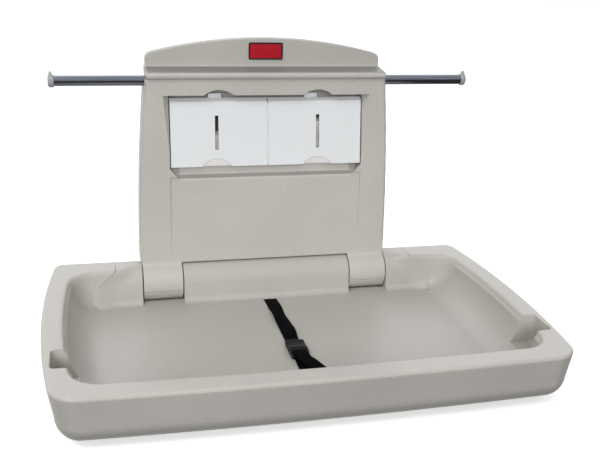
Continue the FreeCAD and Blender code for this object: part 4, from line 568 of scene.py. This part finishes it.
def stack_tree(material):
    """A row of sheets one behind another on each point, each a little out of line."""
    tree = bpy.data.node_groups.new("paper_stack", "GeometryNodeTree")
    ports = tree.interface
    ports.new_socket("Foot", in_out="INPUT", socket_type="NodeSocketGeometry")
    ports.new_socket("Sheets", in_out="INPUT", socket_type="NodeSocketInt").default_value = 15
    for name, size in (("Pitch", 0.0012), ("Sheet width", 0.16), ("Sheet height", 0.062),
                       ("Sheet thickness", 0.001)):
        ports.new_socket(name, in_out="INPUT", socket_type="NodeSocketFloat").default_value = size
    ports.new_socket("Stack", in_out="OUTPUT", socket_type="NodeSocketGeometry")
    given = tree.nodes.new("NodeGroupInput").outputs
    size = add(tree, "ShaderNodeCombineXYZ",
               {0: given["Sheet width"], 1: given["Sheet thickness"], 2: given["Sheet height"]})
    sheet = add(tree, "GeometryNodeMeshCube", {"Size": size.outputs[0]})
    for name, count in (("Vertices X", 17), ("Vertices Y", 2), ("Vertices Z", 11)):
        sheet.inputs[name].default_value = count
    step = add(tree, "ShaderNodeCombineXYZ", {1: given["Pitch"]})
    row = tree.nodes.new("GeometryNodeMeshLine")
    tree.links.new(given["Sheets"], row.inputs["Count"])
    tree.links.new(step.outputs[0], row.inputs["Offset"])
    jog = tree.nodes.new("FunctionNodeRandomValue")
    jog.data_type = "FLOAT_VECTOR"
    jog.inputs["Min"].default_value = (-0.001, -0.0001, -0.0006)
    jog.inputs["Max"].default_value = (0.001, 0.0001, 0.0006)
    jog.inputs["Seed"].default_value = 7
    loose = add(tree, "GeometryNodeSetPosition", {"Geometry": row.outputs["Mesh"], "Offset": jog.outputs[0]})
    pile = add(tree, "GeometryNodeInstanceOnPoints",
               {"Points": loose.outputs[0], "Instance": sheet.outputs["Mesh"]})
    each = add(tree, "GeometryNodeInstanceOnPoints", {"Points": given["Foot"], "Instance": pile.outputs[0]})
    real = add(tree, "GeometryNodeRealizeInstances", {"Geometry": each.outputs[0]})
    coat = add(tree, "GeometryNodeSetMaterial", {"Geometry": real.outputs[0]})
    coat.inputs["Material"].default_value = material
    tree.links.new(coat.outputs[0], tree.nodes.new("NodeGroupOutput").inputs[0])
    return tree


def moon_half(z):
    """Half the half-moon's width at a height, less a small clearance."""
    chord, rise, foot = 0.028, 0.015, 0.0215
    least, clearance = 0.003, 0.0007
    radius = (chord ** 2 + rise ** 2) / (2 * rise)
    up = max(z - foot, 0) + radius - rise
    return math.sqrt(max(radius ** 2 - up ** 2, least ** 2)) - clearance


def curl(mesh, middle, half, path, limit=None):
    """Adds a sheet along a path in Y and Z, in metres. It is bent across its width, unless a limit
    gives half its width at each height and keeps it flat."""
    thickness, ripple, sag = 0.0004, 0.0006, 0.0008
    rings = []
    for index, (y, z) in enumerate(path):
        before, after = path[max(index - 1, 0)], path[min(index + 1, len(path) - 1)]
        run = math.hypot(after[0] - before[0], after[1] - before[1])
        out_y = (after[1] - before[1]) / run * thickness / 2
        out_z = (before[0] - after[0]) / run * thickness / 2
        wide = min(half, limit(z)) if limit else half
        top, under = [], []
        for step in range(17):
            share = step / 8 - 1
            x = middle + wide * share
            bent_y = y + (0 if limit else ripple * math.cos(3.1 * share + 0.8 * index))
            bent_z = z + (0 if limit else sag * share * share)
            top.append((x, bent_y + out_y, bent_z + out_z))
            under.append((x, bent_y - out_y, bent_z - out_z))
        rings.append(top + under[::-1])
    pile = bmesh.new()
    pile.from_mesh(mesh)
    pile.from_mesh(skin(rings, True, True))
    pile.to_mesh(mesh)
    pile.free()


paper = tissue("liner_tissue")
stack_shapes = stack_tree(paper)
ledge, stack_y = 0.0184, -0.0318
shares = (0, 0.15, 0.3, 0.45, 0.6, 0.75, 0.9, 1)
tip_path = ((-0.0612, 0.0036), (-0.0628, 0.0041), (-0.0633, 0.0055), (-0.0630, 0.0085), (-0.0627, 0.0115),
            (-0.0624, 0.0145), (-0.0622, 0.0176))
for name, middle, height in (("left", -0.098, 0.062), ("right", 0.098, 0.086)):
    foot = bpy.data.meshes.new(f"liner_foot_{name}")
    foot.from_pydata([(middle, stack_y, ledge + 0.0008 + height / 2)], [], [])
    liners = grow(f"liners_{name}", foot, stack_shapes, **{"Sheet height": height - 0.0012})
    for slack, drop in ((0.000, 0.001), (0.0025, 0.004), (0.005, 0.002)):
        back_y, front_y = -0.0335 - slack, -0.0505 + 0.9 * slack
        curl(liners.data, middle, 0.079, [
            (back_y + (front_y - back_y) * share ** 1.5, ledge + 0.0005 + (height - drop) * share)
            for share in shares])
    curl(liners.data, middle, 0.025, [(y, ledge + 0.0008) for y in (-0.034, -0.038, -0.042, -0.046, -0.049)])
    liners.data.materials.clear()
    liners.data.materials.append(paper)
    for face in liners.data.polygons:
        face.use_smooth = True
        face.material_index = 0
    liners.data.set_sharp_from_angle(angle=math.radians(40))
    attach(liners, "wall_unit")
    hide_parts(f"liner_stack_{name}")
    drawn = bpy.data.meshes.new(f"liner_tip_{name}")
    curl(drawn, middle, 0.0255, [(y, ledge + rise) for y, rise in tip_path], moon_half)
    tip = show(f"liner_tip_{name}", drawn, 40)
    tip.data.materials.append(paper)
    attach(tip, f"door_{name}")


# The blank plate on the header: a small pressed plate with a dark raised rim round a plain field
# of deep red enamel, stuck on.
def rounded_oblong(half_x, half_z, radius, y, steps=8):
    """Points round an upright oblong with rounded corners."""
    points = []
    for quarter, (sx, sz) in enumerate(((1, 1), (-1, 1), (-1, -1), (1, -1))):
        for step in range(steps + 1):
            angle = math.pi / 2 * (quarter + step / steps)
            points.append((sx * (half_x - radius) + radius * math.cos(angle), y,
                           sz * (half_z - radius) + radius * math.sin(angle)))
    return points


def enamel(name, colour, roughness):
    """Fired paint with a faint orange peel and a thin clear coat."""
    material, tree, shader, place = principled(name)
    orange_peel = noise(tree, place, 700.0, 2.0)
    pool = noise(tree, place, 60.0, 3.0)
    paint(tree, shader, ramp(tree, pool, times(colour, 0.86), colour),
          spread(tree, orange_peel, roughness - 0.05, roughness + 0.08))
    shader.inputs["Coat Weight"].default_value = 0.15
    shader.inputs["Coat Roughness"].default_value = 0.12
    raise_grain(tree, shader, orange_peel, 0.08, 0.0001)
    return material


plate_low, plate_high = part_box("name_plate")
half_x, half_z = (plate_high[0] - plate_low[0]) / 2, (plate_high[2] - plate_low[2]) / 2
middle_z, front = (plate_high[2] + plate_low[2]) / 2, plate_low[1]
rim, field, corner, least_corner = 0, 1, 0.003, 0.0008
plate_rings = [(0, plate_high[1], rim), (0, front + 0.0006, rim), (0.0002, front + 0.0002, rim),
               (0.0006, front, rim), (0.0026, front, rim), (0.0029, front + 0.0002, rim),
               (0.0030, front + 0.0007, field), (0.0042, front + 0.00055, field),
               (0.007, front + 0.0004, field), (0.011, front + 0.0003, field)]
rings = []
for inset, y, _ in plate_rings:
    ring = rounded_oblong(half_x - inset, half_z - inset, max(corner - inset, least_corner), y)
    rings.append([(x, y, z + middle_z) for x, y, z in ring])
ring_materials = [material for _, _, material in plate_rings[1:]] + [field]
plate = show("blank_plate", skin(rings, True, True, ring_materials), 50)
plate.data.materials.append(enamel("rim_enamel", (0.018, 0.017, 0.020), 0.3))
plate.data.materials.append(enamel("red_enamel", (0.43, 0.008, 0.020), 0.34))
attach(plate, "wall_unit")
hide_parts("name_plate")


# The tray: the same pebbled moulding as the panel, closed underneath by a screwed cover, with a
# bent steel bracket and nylon bushes under the floor at each hinge. A soft ramp at each end of
# the roll runs up to the rim.
def ramp_up(tray, side):
    """A closed skin over the step at one end of the roll, from the roll's round to the corner behind it."""
    seen = BVHTree.FromObject(tray, bpy.context.evaluated_depsgraph_get())
    look, upright = Vector((0, 1, -1)).normalized(), Vector((0, 1, 1)).normalized()
    stand_off, run, thick = 0.3, 0.042, 0.0008
    shy, bury, deepest, rim_z = 0.0004, 0.0003, 0.002, -0.1701
    small_step, full_step, sure_step = 0.0004, 0.0012, 0.0005
    columns = [0.251 + 0.002 * step for step in range(46)]
    levels = []
    for row in range(78):
        level = upright * (-0.256 + 0.0014 * row) - look * stand_off
        depths = [seen.ray_cast(Vector((side * x, 0, 0)) + level, look)[3] for x in columns]
        jumps = [a - b for a, b in zip(depths[2:], depths[5:])]
        edge = max(range(len(jumps)), key=lambda k: jumps[k])
        fade = min(max((row - 6) / 8, 0), 1)
        levels.append((level, depths[3], max(jumps[edge] - shy, 0) * fade, columns[edge + 4]))
    front, back = [], []
    for row, (level, deep, *_) in enumerate(levels):
        near = levels[max(row - 3, 0):row + 4]
        step = sum(entry[2] for entry in near) / len(near)
        known = [entry for entry in near if entry[2] > sure_step] or near
        edge = sum(entry[3] for entry in known) / len(known)
        for x in columns:
            share = min(max(1 - (edge - x) / run, 0), 1)
            low_step = (full_step - step) / (full_step - small_step)
            hidden = bury * max(low_step, 1 - share * 12, (x - edge) * 400, 0)
            depth = deep - step * share * share * (3 - 2 * share) + min(hidden, deepest)
            spot = Vector((side * x, 0, 0)) + level
            depth += max((spot + look * depth).z - rim_z, 0) * math.sqrt(2)
            front.append(spot + look * depth)
            back.append(spot + look * (depth + thick))
    width, height = len(columns), len(levels)
    grid = [(r * width + c, r * width + c + 1, (r + 1) * width + c + 1, (r + 1) * width + c)
            for r in range(height - 1) for c in range(width - 1)]
    border = [(0, c) for c in range(width)] + [(r, width - 1) for r in range(1, height)]
    border += [(height - 1, c) for c in range(width - 2, -1, -1)] + [(r, 0) for r in range(height - 2, 0, -1)]
    ring = [r * width + c for r, c in border]
    behind = len(front)
    faces = grid + [tuple(i + behind for i in face[::-1]) for face in grid]
    faces += [(b, a, a + behind, b + behind) for a, b in zip(ring, ring[1:] + ring[:1])]
    mesh = bpy.data.meshes.new("ramp")
    mesh.from_pydata(front + back, [], faces)
    shaped = bmesh.new()
    shaped.from_mesh(mesh)
    bmesh.ops.recalc_face_normals(shaped, faces=shaped.faces)
    shaped.to_mesh(mesh)
    shaped.free()
    return mesh


tray_platinum = moulding("tray_moulding", (0.456, 0.440, 0.409), 0.36, 0.5, 0.003)
tray_skin = soften("tray_shell", "tray_skin", "tray", tray_platinum)
for name, side in (("left", -1), ("right", 1)):
    blend = show(f"roll_ramp_{name}", ramp_up(tray_skin, side), 50)
    blend.data.materials.append(tray_platinum)
    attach(blend, "tray")
dress(tray_platinum, "tray_underside")
dress(zinc_sheet, "tray_bracket_left", "tray_bracket_right", "strap_anchor_rear", "strap_anchor_front")
dress(zinc_bar, "bracket_bolts")


# The strap: black woven webbing, 25 mm wide, pulled through a slot behind and one in front and
# caught under the floor by a steel anchor. Its loose end lies off to the right.
def webbing(name):
    """Black woven tape: a herringbone of picks in columns, with fuzz, from a UV map in millimetres. Its
    colour is darker where the weave is low: painted shade in the weave's grooves.
    """
    column_width, pick_length = 2.1, 1.6
    material, tree, shader, place = principled(name)
    cloth = tree.nodes.new("ShaderNodeUVMap")
    thread = add(tree, "ShaderNodeSeparateXYZ", {"Vector": cloth.outputs["UV"]}).outputs
    column = calc(tree, "DIVIDE", thread["X"], column_width)
    slope = calc(tree, "MULTIPLY", calc(tree, "PINGPONG", column, 1.0), column_width)
    along = calc(tree, "ADD", thread["Y"], slope)
    pick = calc(tree, "SINE", calc(tree, "MULTIPLY", along, 2 * math.pi / pick_length))
    groove = calc(tree, "ABSOLUTE", calc(tree, "SINE", calc(tree, "MULTIPLY", column, math.pi)))
    weave = calc(tree, "ADD", calc(tree, "MULTIPLY", pick, 0.3), calc(tree, "MULTIPLY", groove, 0.35))
    fuzz = noise(tree, place, 1800.0, 3.0)
    height = calc(tree, "ADD", weave, calc(tree, "MULTIPLY", fuzz, 0.3))
    # The colour follows the weave's height: painted shade where the weave and its fuzz are low.
    paint(tree, shader, ramp(tree, height, (0.001, 0.001, 0.0012), (0.0034, 0.0034, 0.004), 0.0, 0.8),
          spread(tree, fuzz, 0.6, 0.85))
    shader.inputs["Specular IOR Level"].default_value = 0.03
    shader.inputs["Sheen Weight"].default_value = 0.005
    shader.inputs["Sheen Roughness"].default_value = 0.4
    raise_grain(tree, shader, height, 0.7, 0.0003)
    return material


def rounded(path, rounds=3):
    """Cuts a path's corners until it runs smoothly."""
    for again in range(rounds):
        cut = [path[0]]
        for a, b in zip(path, path[1:]):
            cut += [a.lerp(b, 0.25), a.lerp(b, 0.75)]
        path = cut + [path[-1]]
    return path


def even(path, spacing):
    """Points at even spacing along a path, with the distance run."""
    runs = [0.0]
    for a, b in zip(path, path[1:]):
        runs.append(runs[-1] + (b - a).length)
    count = max(2, round(runs[-1] / spacing))
    points, index = [], 0
    for step in range(count + 1):
        want = runs[-1] * step / count
        while index < len(runs) - 2 and runs[index + 1] < want:
            index += 1
        gap = runs[index + 1] - runs[index]
        points.append((path[index].lerp(path[index + 1], (want - runs[index]) / gap if gap else 0), want))
    return points


def ribbon(name, route, waves):
    """Webbing along a route of places in millimetres, with rounded selvedges and a UV map in millimetres.
    Waves are rows of a distance along Y and how far the left and the right selvedge stand up there."""
    width, thick, edge = 25.0, 1.6, 0.25
    path = even(rounded([Vector(place) for place in route]), 1.5)
    forward = 1 if route[0][1] > route[-1][1] else -1
    outline = []
    for step in range(13):
        share = 2 * step / 12 - 1
        outline.append((share * (width / 2 - 0.4), thick / 2 * (1 - 0.12 * share ** 4)))
    outline = outline + [(width / 2, edge), (width / 2, -edge)] + [(x, -z) for x, z in outline[::-1]]
    outline += [(-width / 2, -edge), (-width / 2, edge)]
    strip = bmesh.new()
    uv = strip.loops.layers.uv.new("weave")
    rings = []
    for index, (point, run) in enumerate(path):
        before, after = path[max(index - 1, 0)][0], path[min(index + 1, len(path) - 1)][0]
        ahead = (after - before).normalized()
        side = ahead.cross(Vector((0, 0, 1))) if abs(ahead.z) < 0.9 else Vector((1, 0, 0))
        side = Vector((1, 0, 0)) if side.length < 1e-6 else side.normalized()
        side = side if side.x > 0 else -side
        over = side.cross(ahead)
        over = over if over.z > 0 or (abs(over.z) < 0.3 and over.y * forward >= 0) else -over
        left = right = 0.0
        for (start, *low), (end, *high) in zip(waves, waves[1:]):
            share = (point.y - start) / (end - start)
            if 0 <= share <= 1:
                share = share * share * (3 - 2 * share)
                left, right = (a + (b - a) * share for a, b in zip(low, high))
        ring = []
        for x, z in outline:
            spot = point + side * x + over * (z + left + (right - left) * (x / width + 0.5))
            ring.append(strip.verts.new(spot / 1000))
        rings.append(ring)
    count = len(outline)
    for (a, (_, start)), (b, (_, end)) in zip(zip(rings, path), zip(rings[1:], path[1:])):
        for i in range(count):
            j = (i + 1) % count
            face = strip.faces.new((a[i], a[j], b[j], b[i]))
            left, right = outline[i][0] + width / 2, outline[j][0] + width / 2
            for loop, place in zip(face.loops, ((left, start), (right, start), (right, end), (left, end))):
                loop[uv].uv = place
    strip.faces.new(rings[0][::-1])
    strip.faces.new(rings[-1])
    bmesh.ops.recalc_face_normals(strip, faces=strip.faces)
    mesh = bpy.data.meshes.new(name)
    strip.to_mesh(mesh)
    strip.free()
    thing = show(name, mesh, 60)
    thing.data.materials.append(strap_black)
    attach(thing, "tray")
    return thing


strap_black = webbing("strap_webbing")
rear = ribbon("strap_behind", [
    (0, -100, -247.6), (0, -104.4, -247.6), (0, -106, -246), (0, -106, -241.2), (0, -106.8, -239.6),
    (0, -110, -238.7), (0.3, -150, -238.7), (-0.4, -200, -238.7), (0.5, -250, -238.7), (0, -298, -238.6),
    (0, -310.8, -235.1), (0, -320, -235.1)],
    ((-112, 0, 0), (-150, 0.5, 3.0), (-190, 5.5, 0.5), (-230, 2.0, 4.0), (-268, 0.2, 7.5), (-300, 0, 0)))
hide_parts("strap_rear")
ahead = ribbon("strap_ahead", [
    (0, -474, -247.6), (0, -469.6, -247.6), (0, -468, -246), (0, -468, -241.2), (0, -467.2, -239.6),
    (0, -464, -238.7), (0, -430, -238.7), (0, -388, -238.6), (0, -376, -236.6), (0, -368.4, -235.4),
    (0, -366, -234.4)], ((-464, 0, 0), (-425, 0.3, 1.0), (-392, 0, 0)))
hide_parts("strap_front")
tail = ribbon("strap_loose_end", [
    (0, -356.5, -236), (0, -357, -232.4), (0, -360, -231.2), (0.2, -368, -231.3), (1.4, -376, -231.9),
    (6, -390, -233.4), (13, -408, -235), (22.5, -430.4, -235)],
    ((-380, 0, 0), (-400, 0.2, 2.5), (-431, 0, 0.6)))
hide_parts("strap_tail")


# The buckle: a side-release buckle in black acetal. The socket is sewn to the rear webbing, and
# the plug's spring arms show in the socket's side windows; its bars hold the front webbing.
def acetal(name):
    """Hard black plastic, a little rubbed."""
    material, tree, shader, place = principled(name)
    mould = noise(tree, place, 900.0, 3.0)
    rub = noise(tree, place, 90.0, 4.0)
    paint(tree, shader, ramp(tree, rub, (0.002, 0.002, 0.0025), (0.005, 0.005, 0.006)),
          spread(tree, mould, 0.28, 0.42))
    shader.inputs["Specular IOR Level"].default_value = 0.24
    raise_grain(tree, shader, mould, 0.2, 0.0001, 0.0004)
    return material


strap_foot = -239.6


def boxy_ring(y, centre, half, low, high, power=0.4, count=48):
    """A rounded oblong section across the buckle, in millimetres above the strap's underside."""
    ring = []
    for step in range(count):
        c, s = squarish(2 * math.pi * step / count, power)
        z = (low + high) / 2 + (high - low) / 2 * s + strap_foot
        ring.append(((centre + half * c) / 1000, y / 1000, z / 1000))
    return ring


def carve(mesh, boxes):
    """Cuts boxes, given in millimetres as three spans, out of a closed mesh."""
    knife = bmesh.new()
    for x, y, z in boxes:
        centre = Vector(((x[0] + x[1]) / 2, (y[0] + y[1]) / 2, (z[0] + z[1]) / 2 + strap_foot)) / 1000
        size = Vector((x[1] - x[0], y[1] - y[0], z[1] - z[0])) / 1000
        bmesh.ops.create_cube(knife, size=1, matrix=Matrix.Translation(centre) @ Matrix.Diagonal((*size, 1)))
    blocks = bpy.data.meshes.new("knife")
    knife.to_mesh(blocks)
    knife.free()
    return combine(mesh, blocks, "DIFFERENCE")


buckle_black = acetal("buckle_acetal")
socket_rings = [boxy_ring(y, 0, half, low, high) for y, half, low, high in (
    (-314.0, 13.6, 2.2, 7.0), (-314.4, 14.8, 1.2, 8.4), (-315.4, 16.0, 0.4, 9.8), (-317.0, 16.8, 0, 10.7),
    (-319.0, 17.0, 0, 10.9), (-321.5, 17.0, 0, 10.2), (-325.0, 16.9, 0, 9.4), (-331.0, 16.6, 0, 9.2),
    (-337.0, 16.6, 0, 9.4), (-341.5, 16.8, 0, 10.2), (-344.5, 17.0, 0, 10.8), (-346.6, 17.0, 0, 10.8),
    (-347.6, 16.6, 0.3, 10.2), (-348.0, 16.0, 0.9, 9.6))]
socket_mesh = carve(skin(socket_rings, True, True), [
    ((-20, -12.6), (-340.5, -329.5), (2.4, 7.4)), ((12.6, 20), (-340.5, -329.5), (2.4, 7.4)),
    ((-12.8, 12.8), (-322, -310), (3.3, 5.8)), ((-12.4, 12.4), (-349, -346.8), (2.2, 8.2))])
buckle_socket = show("buckle_socket_shell", socket_mesh, 40)
plug_rings = [boxy_ring(y, 0, half, low, high) for y, half, low, high in (
    (-348.3, 15.8, 1.2, 9.0), (-348.7, 16.5, 0.5, 9.8), (-349.8, 16.9, 0, 10.3), (-351.6, 17.0, 0, 10.2),
    (-353.6, 16.9, 0, 8.8), (-357.0, 16.7, 0, 7.0), (-361.0, 16.5, 0, 6.4), (-366.0, 16.3, 0, 6.2),
    (-369.6, 16.0, 0, 6.0), (-371.2, 15.4, 0.4, 5.4), (-372.0, 14.2, 1.4, 4.4))]
plug_mesh = carve(skin(plug_rings, True, True), [
    ((-12.9, 12.9), (-358.6, -354.4), (-1, 12)), ((-12.9, 12.9), (-368.2, -363.6), (-1, 12)),
    ((-12.9, 12.9), (-373, -366), (2.9, 4.9))])
arms = bmesh.new()
arms.from_mesh(plug_mesh)
arm_root = 12.2
arm_sections = ((-329.9, 14.2, 3.4, 6.4), (-330.6, 15.2, 2.8, 7.0), (-333.0, 16.2, 2.6, 7.2),
                (-336.0, 16.3, 2.6, 7.2), (-339.0, 15.4, 2.8, 7.0), (-340.3, 14.2, 3.4, 6.4))
for side in (-1, 1):
    arm_rings = []
    for y, tip_x, low, high in arm_sections:
        arm_rings.append(boxy_ring(y, side * (arm_root + tip_x) / 2, side * (tip_x - arm_root) / 2, low, high,
                                   0.5, 20))
    arms.from_mesh(skin(arm_rings, True, True))
bmesh.ops.recalc_face_normals(arms, faces=arms.faces)
arms.to_mesh(plug_mesh)
arms.free()
buckle_plug = show("buckle_plug_shell", plug_mesh, 40)
for thing, node in ((buckle_socket, "buckle_socket"), (buckle_plug, "buckle_plug")):
    thing.data.materials.clear()
    thing.data.materials.append(buckle_black)
    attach(thing, "tray")
    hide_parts(node)
